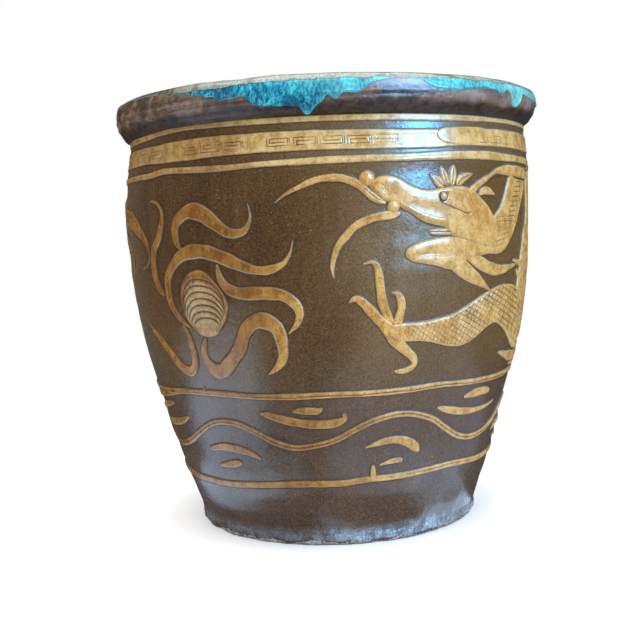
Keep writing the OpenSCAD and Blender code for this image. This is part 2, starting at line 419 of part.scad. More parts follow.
claws_last = [
  [[160.6, 335.6, 3.8], [155, 333.6, 4], [150, 334.4, 3], [146, 338, 1]],
  [[161.2, 346.8, 4.2], [155.6, 351, 4.4], [150.6, 357.6, 3.4], [149, 366.4, 1]],
  [[166, 354, 4.4], [163, 362.4, 4.2], [162.8, 371.4, 3.2], [165, 379, 1]],
  [[171.4, 356, 4.2], [173.4, 363.6, 4], [177, 369, 3], [182, 371, 1]]];
module claws(list) { color(ochre) for (c = list) strip(c, relief_h, 2, 1); }
module foreleg_near() { color(ochre) pad(leg_near_top, leg_near_low, dragon_h, 2, 4); }
module foreleg_near_claws() { claws(claws_near); }
module foreleg_far() { color(ochre) pad(leg_far_top, leg_far_low, dragon_h, 2, 2); }
module foreleg_far_claws() { claws(claws_far); }
module hindleg_near() { color(ochre) pad(leg_back_top, leg_back_low, dragon_h, 2, 4); }
module hindleg_near_claws() { claws(claws_back); }
module hindleg_far() { color(ochre) pad(leg_last_top, leg_last_low, dragon_h, 2, 4); }
module hindleg_far_claws() { claws(claws_last); }

// ---- flames and clouds behind ----
flames_rear = [
  [[103, 262, 1.6], [100, 276, 4.6], [101, 292, 6], [106, 306, 6], [110, 320, 4.6], [108, 334, 2.6], [104, 342, 0.8]],
  [[108, 290, 1.6], [112, 306, 4.4], [118, 322, 5], [122, 338, 3.6], [120, 350, 1]],
  [[208, 262, 1.2], [214, 256, 4.2], [221, 258, 4.8], [226, 246, 4], [224, 234, 1.2]],
  [[206, 240, 1.2], [212, 232, 4], [214, 220, 4.4], [209, 208, 3.2], [203, 202, 1]]];
wisps = [
  [[96, 372, 1], [101, 378, 3.6], [108, 379, 4.6], [114, 373, 4], [120, 376, 4.4], [127, 381, 3.4], [133, 378, 1]],
  [[103, 361, 1], [108, 365, 3], [115, 361, 3.4], [121, 363, 1.2]],
  [[186, 366, 1], [191, 374, 3.6], [198, 377, 4.6], [204, 370, 4], [210, 371, 4.2], [217, 377, 3.4], [223, 373, 1]],
  [[196, 357, 1], [202, 358, 3.4], [208, 355, 1.2]],
  [[232, 334, 1], [236, 344, 3.8], [243, 348, 4.8], [249, 340, 4.4], [256, 343, 4.4], [261, 351, 3.4], [259, 360, 1]],
  [[234, 370, 1], [241, 376, 3.6], [249, 374, 4], [256, 379, 3], [262, 377, 1]],
  [[228, 205, 1], [234, 214, 3.8], [242, 215, 4.6], [248, 206, 4], [255, 208, 4.2], [261, 217, 3.2], [266, 214, 1]],
  [[240, 192, 1], [247, 190, 3.4], [254, 193, 3.4], [260, 191, 1]],
  [[168, 202, 1], [174, 208, 3.6], [181, 205, 4.2], [187, 208, 3.6], [192, 205, 1]]];
module rear_flames() { color(ochre) for (f = flames_rear) strip(f, relief_h, 2, 1); }
module cloud_wisps() { color(ochre) for (w = wisps) strip(w, relief_h, 2, 1); }

base_slab();
lower_wall();
middle_wall();
upper_wall();
rolled_rim();
turquoise_glaze_runs();
neck_fillet_upper();
meander_band();
neck_fillet_lower();
waterline_upper();
waterline_lower();
wave_line();
wave_dashes_upper();
wave_dashes_lower();
pearl();
flame_crown();
flame_arc();
flame_middle();
flame_arch();
flame_hook();
flame_snake();
dragon_skull();
dragon_jaw();
dragon_beard();
dragon_tongue();
dragon_nose_ball();
dragon_chin_knob();
dragon_eye();
dragon_ear();
dragon_antler();
dragon_crest();
whisker_upper();
whisker_lower();
dragon_neck();
dragon_shoulder_wisps();
dragon_body();
dragon_dorsal_fins();
tail_tuft();
foreleg_near();
foreleg_near_claws();
foreleg_far();
foreleg_far_claws();
hindleg_near();
hindleg_near_claws();
hindleg_far();
hindleg_far_claws();
rear_flames();
cloud_wisps();
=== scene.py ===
import json
import math
import bpy
import numpy as np
from mathutils import Matrix, Vector

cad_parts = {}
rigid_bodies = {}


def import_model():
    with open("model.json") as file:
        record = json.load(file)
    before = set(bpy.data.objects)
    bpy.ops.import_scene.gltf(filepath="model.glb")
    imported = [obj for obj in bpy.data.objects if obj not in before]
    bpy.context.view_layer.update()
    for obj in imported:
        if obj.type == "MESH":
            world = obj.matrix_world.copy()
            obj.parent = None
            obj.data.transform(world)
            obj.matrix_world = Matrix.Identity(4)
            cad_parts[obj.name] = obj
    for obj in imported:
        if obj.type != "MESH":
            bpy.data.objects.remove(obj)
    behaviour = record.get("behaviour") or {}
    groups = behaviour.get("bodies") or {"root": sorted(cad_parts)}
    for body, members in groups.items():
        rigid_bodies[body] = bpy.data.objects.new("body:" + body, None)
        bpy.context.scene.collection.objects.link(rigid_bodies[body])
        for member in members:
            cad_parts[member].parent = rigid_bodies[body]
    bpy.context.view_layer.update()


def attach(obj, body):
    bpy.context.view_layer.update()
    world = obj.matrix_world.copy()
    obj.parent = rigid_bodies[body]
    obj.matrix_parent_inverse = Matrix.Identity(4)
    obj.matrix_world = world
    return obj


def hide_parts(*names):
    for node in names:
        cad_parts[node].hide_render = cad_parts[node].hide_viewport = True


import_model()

FINE = 1.0          # grid coarseness while trying things out
KD = math.pi / 180

# ---------------------------------------------------------------------------
# The jar's shape, in millimetres: the same profile as the CAD model's
# ---------------------------------------------------------------------------
JAR_H, RIM_R, BELLY_R, NECK_R, FOOT_R = 482.0, 243.5, 235.5, 228.5, 163.0
WALL_T, BASE_T, MOUTH_R, THROAT_H = 14.0, 14.0, 204.0, 18.0
NECK_Z, JOIN_Z = JAR_H - 39, 168.0
BAND_Z = JAR_H - 63
SWELL = [(0, 0), (0.027, 0), (0.081, 0.104), (0.136, 0.228), (0.217, 0.373), (0.299, 0.503),
         (0.380, 0.646), (0.462, 0.772), (0.543, 0.868), (0.624, 0.933), (0.706, 0.975),
         (0.787, 0.996), (0.842, 0.998)]
WALL = [(s * NECK_Z, FOOT_R + w * (BELLY_R - FOOT_R)) for s, w in SWELL]
WALL += [(0.896 * NECK_Z, BELLY_R - 0.27 * (BELLY_R - NECK_R)),
         (0.950 * NECK_Z, BELLY_R - 0.73 * (BELLY_R - NECK_R)),
         (0.986 * NECK_Z, NECK_R), (NECK_Z, NECK_R)]


def cr(a, b, c, d, t):
    return 0.5 * (2 * b + (c - a) * t + (2 * a - 5 * b + 4 * c - d) * t * t
                  + (3 * b - 3 * c + d - a) * t * t * t)


def curve(points, n=20, closed=False):
    """A smooth curve through the points, n steps to each span."""
    P = np.array(points, float)
    m = len(P)
    t = (np.arange(n) / n)[:, None]
    out = []
    for i in range(m if closed else m - 1):
        if closed:
            a, b, c, d = P[(i - 1) % m], P[i], P[(i + 1) % m], P[(i + 2) % m]
        else:
            a, b, c, d = P[max(i - 1, 0)], P[i], P[i + 1], P[min(i + 2, m - 1)]
        out.append(cr(a, b, c, d, t))
    if not closed:
        out.append(P[-1:])
    return np.vstack(out)


_wc = curve(WALL, 12)


def R(z):
    """Radius of the bare wall. The profile was taken over the drawing, so the wall is a little inside it."""
    return np.interp(z, _wc[:, 0], _wc[:, 1]) - 1.9 * smooth(285, 325, z) * smooth(404, 384, z) \
        - 0.5 * smooth(190, 250, z) * smooth(325, 285, z)


def lean(z):
    """How far the neck stands to the right of the foot, in mm: the jar was not thrown quite true."""
    return 3.9 * smooth(362, 428, z)


# ---------------------------------------------------------------------------
# Seeded noise, the same on every run
# ---------------------------------------------------------------------------
def _hash(ix, iy, iz, seed):
    h = (ix * 374761393 + iy * 668265263 + iz * 2147483647 + seed * 1274126177) & 0xFFFFFFFF
    h = ((h ^ (h >> 13)) * 1274126177) & 0xFFFFFFFF
    h = (h ^ (h >> 16)) & 0xFFFFFFFF
    return h.astype(np.float64) / 4294967295.0


def vnoise(x, y, z, seed=0):
    """Smooth value noise in 0..1 on arrays."""
    x, y, z = np.broadcast_arrays(x, y, z)
    xi, yi, zi = np.floor(x).astype(np.int64), np.floor(y).astype(np.int64), np.floor(z).astype(np.int64)
    fx, fy, fz = x - xi, y - yi, z - zi
    fx, fy, fz = [f * f * f * (f * (f * 6 - 15) + 10) for f in (fx, fy, fz)]
    out = 0.0
    for dx in (0, 1):
        wx = fx if dx else 1 - fx
        for dy in (0, 1):
            wy = fy if dy else 1 - fy
            for dz in (0, 1):
                wz = fz if dz else 1 - fz
                out = out + wx * wy * wz * _hash(xi + dx, yi + dy, zi + dz, seed)
    return out


def fbm(a, z, size, seed=0, octaves=3, zsquash=1.0):
    """Noise on the jar's skin: a in degrees, z in mm, features about size mm."""
    r = 220.0
    x, y = r * np.sin(a * KD), -r * np.cos(a * KD)
    v, amp, tot, f = 0.0, 1.0, 0.0, 1.0 / size
    for o in range(octaves):
        v = v + amp * (vnoise(x * f + 31.7, y * f + 11.3, z * f / zsquash + 5.1, seed + o) * 2 - 1)
        tot += amp
        amp *= 0.5
        f *= 2.03
    return v / tot


def smooth(e0, e1, x):
    t = np.clip((x - e0) / (e1 - e0), 0, 1)
    return t * t * (3 - 2 * t)


def wobble(a, z):
    """How far the hand-thrown wall strays from a true round, in mm."""
    t = a * KD
    w = 0.45 * np.sin(2 * t + 0.6) + 0.3 * np.sin(3 * t + 2.1 + z / 110) + 0.16 * np.sin(5 * t - z / 60)
    w = w + 0.16 * np.sin(z / 4.1 + 0.8 * np.sin(t)) * (0.5 + 0.5 * np.sin(z / 37.0))
    return w + 0.35 * fbm(a, z, 46, 3, 2)


def place(a, z, h):
    """Metres, from degrees round, mm up, and mm proud of the wall."""
    off = lean(z)
    t = a - off * np.cos(a * KD) / (R(z) * KD)
    r = R(z) + wobble(t, z) + h
    return np.stack([off + r * np.sin(t * KD), -r * np.cos(t * KD), z], -1) * 0.001


# ---------------------------------------------------------------------------
# Mesh making
# ---------------------------------------------------------------------------
scene = bpy.context.scene


def make_mesh(name, verts, quads, tris=(), ngons=(), attrs=None, smooth_shade=True):
    """A mesh object from arrays, in metres."""
    me = bpy.data.meshes.new(name)
    verts = np.asarray(verts, np.float32).reshape(-1, 3)
    quads = np.asarray(quads, np.int32).reshape(-1, 4)
    tris = np.asarray(tris, np.int32).reshape(-1, 3)
    loops = [quads.ravel(), tris.ravel()]
    starts = [np.arange(len(quads)) * 4, len(quads) * 4 + np.arange(len(tris)) * 3]
    totals = [np.full(len(quads), 4), np.full(len(tris), 3)]
    base = len(quads) * 4 + len(tris) * 3
    for g in ngons:
        loops.append(np.asarray(g, np.int32))
        starts.append(np.array([base]))
        totals.append(np.array([len(g)]))
        base += len(g)
    loops = np.concatenate(loops).astype(np.int32)
    starts = np.concatenate(starts).astype(np.int32)
    totals = np.concatenate(totals).astype(np.int32)
    me.vertices.add(len(verts))
    me.vertices.foreach_set("co", verts.ravel())
    me.loops.add(len(loops))
    me.loops.foreach_set("vertex_index", loops)
    me.polygons.add(len(starts))
    me.polygons.foreach_set("loop_start", starts)
    me.polygons.foreach_set("loop_total", totals)
    me.update(calc_edges=True)
    me.validate(verbose=False)
    if smooth_shade:
        me.polygons.foreach_set("use_smooth", np.ones(len(me.polygons), bool))
    if attrs and len(me.vertices) == len(verts):
        for k, v in attrs.items():
            at = me.attributes.new(k, "FLOAT", "POINT")
            at.data.foreach_set("value", np.asarray(v, np.float32).ravel())
    o = bpy.data.objects.new(name, me)
    scene.collection.objects.link(o)
    return o


def grid_faces(n, m, wrap=False, off=0, flip=False):
    """Quads over an n by m grid of vertices, row by row; wrap joins the last row to the first."""
    i = np.arange(n if wrap else n - 1)[:, None]
    j = np.arange(m - 1)[None, :]
    i2 = (i + 1) % n
    q = np.stack([i * m + j, i2 * m + j, i2 * m + j + 1, i * m + j + 1], -1).reshape(-1, 4) + off
    return q[:, ::-1] if flip else q


def finish(o, node, mat, smooth_angle=None):
    o.data.materials.clear()
    o.data.materials.append(mat)
    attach(o, "root")
    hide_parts(*(node if isinstance(node, tuple) else (node,)))
    return o


def merge(parts, name):
    """Several (verts, quads, tris, ngons, attrs) as one mesh object."""
    V, Q, T, G, A, off = [], [], [], [], {}, 0
    keys = sorted(set(k for p in parts for k in p[4]))
    for v, q, t, g, a in parts:
        v = np.asarray(v).reshape(-1, 3)
        V.append(v)
        Q.append(np.asarray(q, int).reshape(-1, 4) + off)
        T.append(np.asarray(t, int).reshape(-1, 3) + off)
        G += [np.asarray(x, int) + off for x in g]
        for k in keys:
            A.setdefault(k, []).append(np.asarray(a.get(k, np.zeros(len(v)))).ravel())
        off += len(v)
    return make_mesh(name, np.vstack(V), np.vstack(Q), np.vstack(T), G,
                     {k: np.concatenate(x) for k, x in A.items()})


# ---------------------------------------------------------------------------
# Applied clay: strips and pads whose edges are rounded and bedded in glaze
# ---------------------------------------------------------------------------
SKIRT = 2.0      # mm of glaze lens round each piece
FLAT = 0.76      # the potter's fingers pressed the clay flatter than it was cut
DOWN = (-0.5, -0.87)     # the way glaze hangs and shade falls, as (right, up)


def lift(sd, H, rad=2.2):
    """Height of applied clay above the wall, from the distance inside its edge."""
    hf = 0.30
    inner = hf + (H * FLAT - hf) * (1 - (1 - np.clip(sd / rad, 0, 1)) ** 2.6)
    outer = hf * np.clip(1 + sd / SKIRT, 0, 1) ** 2 - 0.04
    return np.where(sd >= 0, inner, outer)


def kz(z):
    return R(z) * KD


def along(path, step, round_ends=(False, False)):
    """Even samples of a path of [angle, height, half width, ...], with unit tangents and length, in mm."""
    D = curve(path, 24)
    k = kz(D[:, 1])
    dx = np.diff(D[:, 0]) * 0.5 * (k[1:] + k[:-1])
    L = np.concatenate([[0], np.cumsum(np.hypot(dx, np.diff(D[:, 1])))])
    n = max(int(L[-1] / step) + 1, 6)
    s = np.linspace(0, L[-1], n)
    Q = np.stack([np.interp(s, L, D[:, c]) for c in range(D.shape[1])], 1)
    k = kz(Q[:, 1])
    tx = np.gradient(Q[:, 0]) * k
    tz = np.gradient(Q[:, 1])
    for _ in range(3):
        tx = np.convolve(np.pad(tx, 1, mode="edge"), [0.25, 0.5, 0.25], "valid")
        tz = np.convolve(np.pad(tz, 1, mode="edge"), [0.25, 0.5, 0.25], "valid")
    l = np.hypot(tx, tz)
    w = Q[:, 2].copy()
    if round_ends[0]:
        w0 = max(w[0], 1.0)
        f = np.clip(s / w0, 0.0, 1)
        w *= np.sqrt(np.clip(1 - (1 - f) ** 2, 0.02, 1))
    if round_ends[1]:
        w1 = max(w[-1], 1.0)
        f = np.clip((L[-1] - s) / w1, 0.0, 1)
        w *= np.sqrt(np.clip(1 - (1 - f) ** 2, 0.02, 1))
    return Q, tx / l, tz / l, s, w


def close_strip(n, m, top_off, back_off, nb):
    """Faces that close the back of a strip: n rows of m top and nb back vertices."""
    q = []
    i = np.arange(n - 1)[:, None]
    j = np.arange(nb - 1)[None, :]
    a = back_off + i * nb + j
    q.append(np.stack([a, a + 1, a + nb + 1, a + nb], -1).reshape(-1, 4))
    i = np.arange(n - 1)
    t0 = top_off + i * m
    b0 = back_off + i * nb
    q.append(np.stack([t0, b0, b0 + nb, t0 + m], -1))
    t1 = top_off + i * m + m - 1
    b1 = back_off + i * nb + nb - 1
    q.append(np.stack([t1, t1 + m, b1 + nb, b1], -1))
    caps = [
        np.concatenate([top_off + np.arange(m)[::-1], back_off + np.arange(nb)]),
        np.concatenate([top_off + (n - 1) * m + np.arange(m), back_off + (n - 1) * nb + np.arange(nb)[::-1]]),
    ]
    return np.vstack(q), caps


def strip(path, H=2.4, rad=2.2, step=None, round_ends=(True, False), detail=None, jitter=1.0,
          cross=None, seed=0, tone=0.0):
    """Mesh arrays of a strip of clay. detail(a, z, u, s, sd, w) gives (extra height, carve)."""
    step = (step or 1.1) * FINE
    Q, tx, tz, s, w = along(path, step, round_ends)
    n = len(s)
    w = np.maximum(w * (1 + 0.05 * jitter * np.sin(s / 9.0 + seed * 1.7) + 0.04 * jitter * np.sin(s / 3.7 + seed)), 0.35)
    side = 0.35 * jitter * np.sin(s / 13.0 + seed * 2.3)
    if cross is None:
        c = np.sin(np.linspace(-1, 1, 15) * math.pi / 2)
    else:
        mcount = max(int(2 * np.max(w) / (cross * FINE)) + 1, 9)
        c = np.linspace(-1, 1, mcount)
        c = np.concatenate([[-1], c[1:-1], [1]])
    u = c[None, :] * w[:, None]
    sk = np.array([SKIRT, SKIRT * 0.62, SKIRT * 0.3, 0.45, 0.12])
    lo = -w[:, None] - sk[None, :]
    hi = w[:, None] + sk[None, ::-1]
    inner = u[:, 1:-1]
    e1 = np.clip(w[:, None] - np.array([[0.0, 0.25]]), 0, None)
    U = np.concatenate([lo, -e1, inner, e1[:, ::-1], hi], 1)
    U = np.sort(U, 1)
    m = U.shape[1]
    k = kz(Q[:, 1])[:, None]
    off = U + side[:, None]
    A = Q[:, 0:1] + (-tz[:, None] * off) / k
    Z = Q[:, 1:2] + tx[:, None] * off
    W = w[:, None] + 0 * U
    sd = W - np.abs(U)
    # taper the height where the strip gets thin, as a finger leaves it
    Hs = H * np.clip(0.25 + w / 4.0, 0.3, 1.0)[:, None]
    rr = np.minimum(rad, np.maximum(W * 0.75, 0.4))
    h = lift(sd, Hs, rr)
    base = (Q[:, 3:4] if Q.shape[1] > 3 else 0) + 0 * U
    S = s[:, None] + 0 * U
    carve = np.zeros_like(U)
    if detail is not None:
        dh, carve = detail(A, Z, U, S, sd, W)
        h = h + dh
    h = h + 0.10 * fbm(A, Z, 7, 21 + seed, 2) * np.clip(sd + 0.5, 0, 1) * jitter
    h[:, 0] = np.minimum(h[:, 0], -0.12)
    h[:, -1] = np.minimum(h[:, -1], -0.12)
    top = place(A, Z, h + base)
    nb = max(int(2 * (np.max(w) + SKIRT) / 9.0) + 1, 2)
    fb = np.linspace(0, 1, nb)[None, :]
    Ab = A[:, :1] * (1 - fb) + A[:, -1:] * fb
    Zb = Z[:, :1] * (1 - fb) + Z[:, -1:] * fb
    back = place(Ab, Zb, base[:, :1] - 0.9)
    V = np.vstack([top.reshape(-1, 3), back.reshape(-1, 3)])
    q1 = grid_faces(n, m)
    q2, caps = close_strip(n, m, 0, n * m, nb)
    pad0 = np.zeros(n * nb)
    side = np.sign(U) * (-tz * DOWN[0] + tx * DOWN[1])[:, None]
    attrs = {
        "sd": np.concatenate([sd.ravel(), pad0 - 3]),
        "carve": np.concatenate([carve.ravel(), pad0]),
        "side": np.concatenate([side.ravel(), pad0]),
        "tone": np.full(n * m + n * nb, tone),
    }
    return V, np.vstack([q1, q2]), [], caps, attrs


def pad(e, f, H=3.2, rad=3.0, cell=0.9, detail=None, seed=0, caps_round=(False, False), tone=0.0):
    """Mesh arrays of a pad of clay between two edges of [angle, height]."""
    cell = cell * FINE
    E, F = curve(e, 24), curve(f, 24)
    mid = 0.5 * (E + F)
    k = kz(mid[:, 1])
    L = np.concatenate([[0], np.cumsum(np.hypot(np.diff(mid[:, 0]) * 0.5 * (k[1:] + k[:-1]), np.diff(mid[:, 1])))])
    n = max(int(L[-1] / cell) + 1, 8)
    s = np.linspace(0, L[-1], n)
    E = np.stack([np.interp(s, L, E[:, c]) for c in (0, 1)], 1)
    F = np.stack([np.interp(s, L, F[:, c]) for c in (0, 1)], 1)
    k = kz(0.5 * (E[:, 1] + F[:, 1]))
    Wd = np.hypot((F[:, 0] - E[:, 0]) * k, F[:, 1] - E[:, 1])
    m = max(int(np.max(Wd) / cell) + 1, 8)
    v = np.linspace(0, 1, m)
    edge = np.array([0.25, 0.7])
    body = v[None, :] * Wd[:, None]
    sk = np.array([SKIRT, SKIRT * 0.62, SKIRT * 0.3, 0.45, 0.12])
    D = np.concatenate([-sk[None, :] + 0 * Wd[:, None], np.sort(np.concatenate(
        [body, edge[None, :] + 0 * Wd[:, None], Wd[:, None] - edge[None, :]], 1), 1),
        Wd[:, None] + sk[None, ::-1]], 1)
    V_ = D / np.maximum(Wd[:, None], 1e-3)
    A = E[:, 0:1] + (F[:, 0:1] - E[:, 0:1]) * V_
    Z = E[:, 1:2] + (F[:, 1:2] - E[:, 1:2]) * V_
    sd = np.minimum(D, Wd[:, None] - D)
    S = s[:, None] + 0 * D
    if caps_round[0]:
        sd = np.minimum(sd, S * 1.0 - 0.2)
    if caps_round[1]:
        sd = np.minimum(sd, s[-1] - S - 0.2)
    U = D - Wd[:, None] * 0.5
    W = Wd[:, None] * 0.5 + 0 * D
    h = lift(sd, H, np.minimum(rad, np.maximum(W * 0.8, 0.4)))
    carve = np.zeros_like(D)
    if detail is not None:
        dh, carve = detail(A, Z, U, S, sd, W)
        h = h + dh
    h = h + 0.12 * fbm(A, Z, 8, 41 + seed, 2) * np.clip(sd + 0.5, 0, 1)
    h[:, 0] = np.minimum(h[:, 0], -0.12)
    h[:, -1] = np.minimum(h[:, -1], -0.12)
    top = place(A, Z, h)
    mm = D.shape[1]
    nb = max(int((np.max(Wd) + 2 * SKIRT) / 9.0) + 1, 2)
    fb = np.linspace(0, 1, nb)[None, :]
    back = place(A[:, :1] * (1 - fb) + A[:, -1:] * fb, Z[:, :1] * (1 - fb) + Z[:, -1:] * fb, -0.9)
    V = np.vstack([top.reshape(-1, 3), back.reshape(-1, 3)])
    q1 = grid_faces(n, mm, flip=True)
    q2, caps = close_strip(n, mm, 0, n * mm, nb)
    q2 = q2[:, ::-1]
    caps = [c[::-1] for c in caps]
    pad0 = np.zeros(n * nb)
    ox, oz = (F[:, 0] - E[:, 0]) * k, F[:, 1] - E[:, 1]
    ol = np.maximum(np.hypot(ox, oz), 1e-3)
    side = np.sign(U) * ((ox * DOWN[0] + oz * DOWN[1]) / ol)[:, None]
    attrs = {
        "sd": np.concatenate([sd.ravel(), pad0 - 3]),
        "carve": np.concatenate([carve.ravel(), pad0]),
        "side": np.concatenate([side.ravel(), pad0]),
        "tone": np.full(n * mm + n * nb, tone),
    }
    return V, np.vstack([q1, q2]), [], caps, attrs


# ---- signed distance pieces on a grid, for the head and the pearl ----
def poly_sd(X, Y, P):
    """Signed distance to a closed outline, positive inside; all in mm."""
    d2 = np.full(X.shape, 1e9)
    inside = np.zeros(X.shape, bool)
    n = len(P)
    for i in range(n):
        ax, ay = P[i]
        bx, by = P[(i + 1) % n]
        ex, ey = bx - ax, by - ay
        l2 = ex * ex + ey * ey
        if l2 < 1e-9:
            continue
        t = np.clip(((X - ax) * ex + (Y - ay) * ey) / l2, 0, 1)
        d2 = np.minimum(d2, (X - ax - t * ex) ** 2 + (Y - ay - t * ey) ** 2)
        if ay != by:
            c = ((ay > Y) != (by > Y)) & (X < (bx - ax) * (Y - ay) / (by - ay) + ax)
            inside ^= c
    return np.where(inside, 1, -1) * np.sqrt(d2)


def line_d(X, Y, P):
    """Distance to an open line, and how far along it the nearest point is (0..1)."""
    d2 = np.full(X.shape, 1e9)
    best = np.zeros(X.shape)
    seg = np.hypot(np.diff(P[:, 0]), np.diff(P[:, 1]))
    L = np.concatenate([[0], np.cumsum(seg)])
    for i in range(len(P) - 1):
        ax, ay = P[i][:2]
        bx, by = P[i + 1][:2]
        ex, ey = bx - ax, by - ay
        l2 = ex * ex + ey * ey
        if l2 < 1e-9:
            continue
        t = np.clip(((X - ax) * ex + (Y - ay) * ey) / l2, 0, 1)
        q = (X - ax - t * ex) ** 2 + (Y - ay - t * ey) ** 2
        b = q < d2
        d2 = np.where(b, q, d2)
        best = np.where(b, (L[i] + t * seg[i]) / L[-1], best)
    return np.sqrt(d2), best


def sheet(a0, a1, z0, z1, cell, shape):
    """Mesh arrays of a free-form pad. shape(X, Z, A) gives sd, height, carve, with X in mm from a0's meridian."""
    cell = cell * FINE
    km = float(kz(0.5 * (z0 + z1)))
    na, nz = int((a1 - a0) * km / cell) + 1, int((z1 - z0) / cell) + 1
    X, Z = np.meshgrid(np.linspace(0, (a1 - a0) * km, na), np.linspace(z0, z1, nz))
    sd, _, _ = shape(X, Z)
    for target in (0.0, -SKIRT):
        gz, gx = np.gradient(sd, Z[1, 0] - Z[0, 0], X[0, 1] - X[0, 0])
        g2 = np.maximum(gx * gx + gz * gz, 0.25)
        hit = np.abs(sd - target) < 0.55 * cell
        X = np.where(hit, X - (sd - target) * gx / g2, X)
        Z = np.where(hit, Z - (sd - target) * gz / g2, Z)
        if target == 0.0:
            first = hit
    sd, h, carve = shape(X, Z)
    A = a0 + X / km
    keepv = sd > -SKIRT - 0.3 * cell
    i = np.arange(nz - 1)[:, None] * na + np.arange(na - 1)[None, :]
    quads = np.stack([i, i + 1, i + na + 1, i + na], -1).reshape(-1, 4)
    ok = keepv.ravel()[quads].all(1)
    quads = quads[ok]
    used = np.unique(quads)
    remap = -np.ones(na * nz, int)
    remap[used] = np.arange(len(used))
    quads = remap[quads]
    hv = h.ravel()[used]
    # border: edges used once
    e = np.concatenate([quads[:, [0, 1]], quads[:, [1, 2]], quads[:, [2, 3]], quads[:, [3, 0]]])
    key = e.min(1).astype(np.int64) * len(used) + e.max(1)
    uniq, idx, cnt = np.unique(key, return_index=True, return_counts=True)
    border = e[idx[cnt == 1]]
    bv = np.unique(border)
    hv[bv] = np.minimum(hv[bv], -0.15)
    Au, Zu = A.ravel()[used], Z.ravel()[used]
    top = place(Au, Zu, hv)
    back = place(Au, Zu, -0.9 + 0 * hv)
    nv = len(used)
    wall = np.stack([border[:, 1], border[:, 0], border[:, 0] + nv, border[:, 1] + nv], -1)
    Q = np.vstack([quads, quads[:, ::-1] + nv, wall])
    gz, gx = np.gradient(sd, 1.0, 1.0)
    gl = np.maximum(np.hypot(gx, gz), 0.2)
    side = -(gx * DOWN[0] + gz * DOWN[1]) / gl
    attrs = {"sd": np.concatenate([sd.ravel()[used], np.full(nv, -3.0)]),
             "carve": np.concatenate([carve.ravel()[used], np.zeros(nv)]),
             "side": np.concatenate([side.ravel()[used], np.zeros(nv)]), "tone": np.zeros(2 * nv)}
    return np.vstack([top, back]), Q, [], [], attrs


# ---------------------------------------------------------------------------
# Surface detail on the clay
# ---------------------------------------------------------------------------
def scales(pitch=6.6, depth=0.75, start=0.0, stop=1e9):
    """Overlapping scales, incised in the clay with a curved tool."""
    def f(A, Z, U, S, sd, W):
        p, q = pitch, pitch * 0.52
        s = S - start
        row = np.floor(s / q)
        best = np.full(U.shape, 9.0)
        dome = np.zeros(U.shape)
        done = np.zeros(U.shape, bool)
        for dr in (2, 1, 0, -1):
            r = row + dr
            shift = np.where(np.mod(r, 2) == 0, 0.0, 0.5)
            cu = (np.round(U / p - shift) + shift) * p
            cs = r * q
            d = np.hypot((U - cu) * 1.0, (s - cs) * 0.95)
            rad = p * 0.60
            inside = (d < rad) & ~done
            best = np.where(inside, rad - d, best)
            dome = np.where(inside, 1 - (d / rad) ** 2, dome)
            done |= inside
        g = np.exp(-(best / 0.55) ** 2)
        amt = smooth(1.2, 3.6, sd) * smooth(-2, 6, s) * smooth(stop + 4, stop - 6, S)
        amt = amt * (0.75 + 0.35 * fbm(A, Z, 30, 5, 2))
        return amt * (depth * 0.45 * dome - depth * g), np.clip(amt * g, 0, 1)
    return f


def lattice(along=6.4, across=8.8, depth=0.6, start=0.0, stop=1e9, grow=0.0):
    """Scales drawn as two crossing sets of slanting lines, each lozenge left a little proud."""
    def f(A, Z, U, S, sd, W):
        n = 0.35 * fbm(A, Z, 12, 15, 2)
        k = 1.0 / math.hypot(1 / along, 1 / across)
        d = np.full(U.shape, 9.0)
        q = S / along
        if grow:
            q = np.log(1 + grow * np.maximum(S, 0) / along) / grow
        for sign in (1, -1):
            p = q + sign * (U / across + 0.06 * np.sin(S / 9.0)) + 0.30 * n
            d = np.minimum(d, np.abs(p - np.round(p)) * k)
        g = np.exp(-((d + 0.2 * n) / 0.55) ** 2)
        amt = smooth(0.6, 2.6, sd) * smooth(start - 2, start + 6, S) * smooth(stop + 4, stop - 6, S)
        amt = amt * (0.8 + 0.4 * fbm(A, Z, 30, 5, 2))
        return amt * (depth * 0.5 * np.clip(d / 2.0, 0, 1) - depth * g), np.clip(0.62 * amt * g, 0, 1)
    return f


def lozenges(a0, z0, turn, along=6.4, across=8.0, depth=0.5, grow=0.0, first=-999.0):
    """The same scales, on a grid that is laid over the wall at one slant, opening out to the right."""
    def f(A, Z, U, S, sd, W):
        k = float(kz(z0))
        n = 0.35 * fbm(A, Z, 12, 15, 2)
        x, y = (A - a0) * k, Z - z0
        u = x * math.cos(turn * KD) + y * math.sin(turn * KD)
        v = -x * math.sin(turn * KD) + y * math.cos(turn * KD)
        q = np.log(1 + grow * np.maximum(u, -25) / along) / grow if grow else u / along
        m = 1.0 / math.hypot(1 / along, 1 / across)
        d = np.full(U.shape, 9.0)
        for sign in (1, -1):
            p = q + sign * v / across + 0.30 * n
            d = np.minimum(d, np.abs(p - np.round(p)) * m)
        g = np.exp(-((d + 0.2 * n) / 0.58) ** 2)
        amt = smooth(0.6, 2.6, sd) * smooth(first, first + 3, A) * (0.8 + 0.4 * fbm(A, Z, 30, 5, 2))
        return amt * (depth * 0.5 * np.clip(d / 2.0, 0, 1) - depth * g), np.clip(0.58 * amt * g, 0, 1)
    return f


def swept(depth=0.35):
    """Clay swept along by a fingertip: a faint hollow down the middle and fine drag lines."""
    def f(A, Z, U, S, sd, W):
        v = U / np.maximum(W, 0.6)
        hollow = -depth * np.exp(-((v - 0.12) / 0.42) ** 2) * np.clip(W / 5, 0, 1)
        drag = 0.10 * np.sin(v * 9 + 1.3 * np.sin(S / 23.0)) * np.clip(sd, 0, 1)
        return np.clip(sd, 0, 1) * (hollow + drag), np.zeros_like(U)
    return f


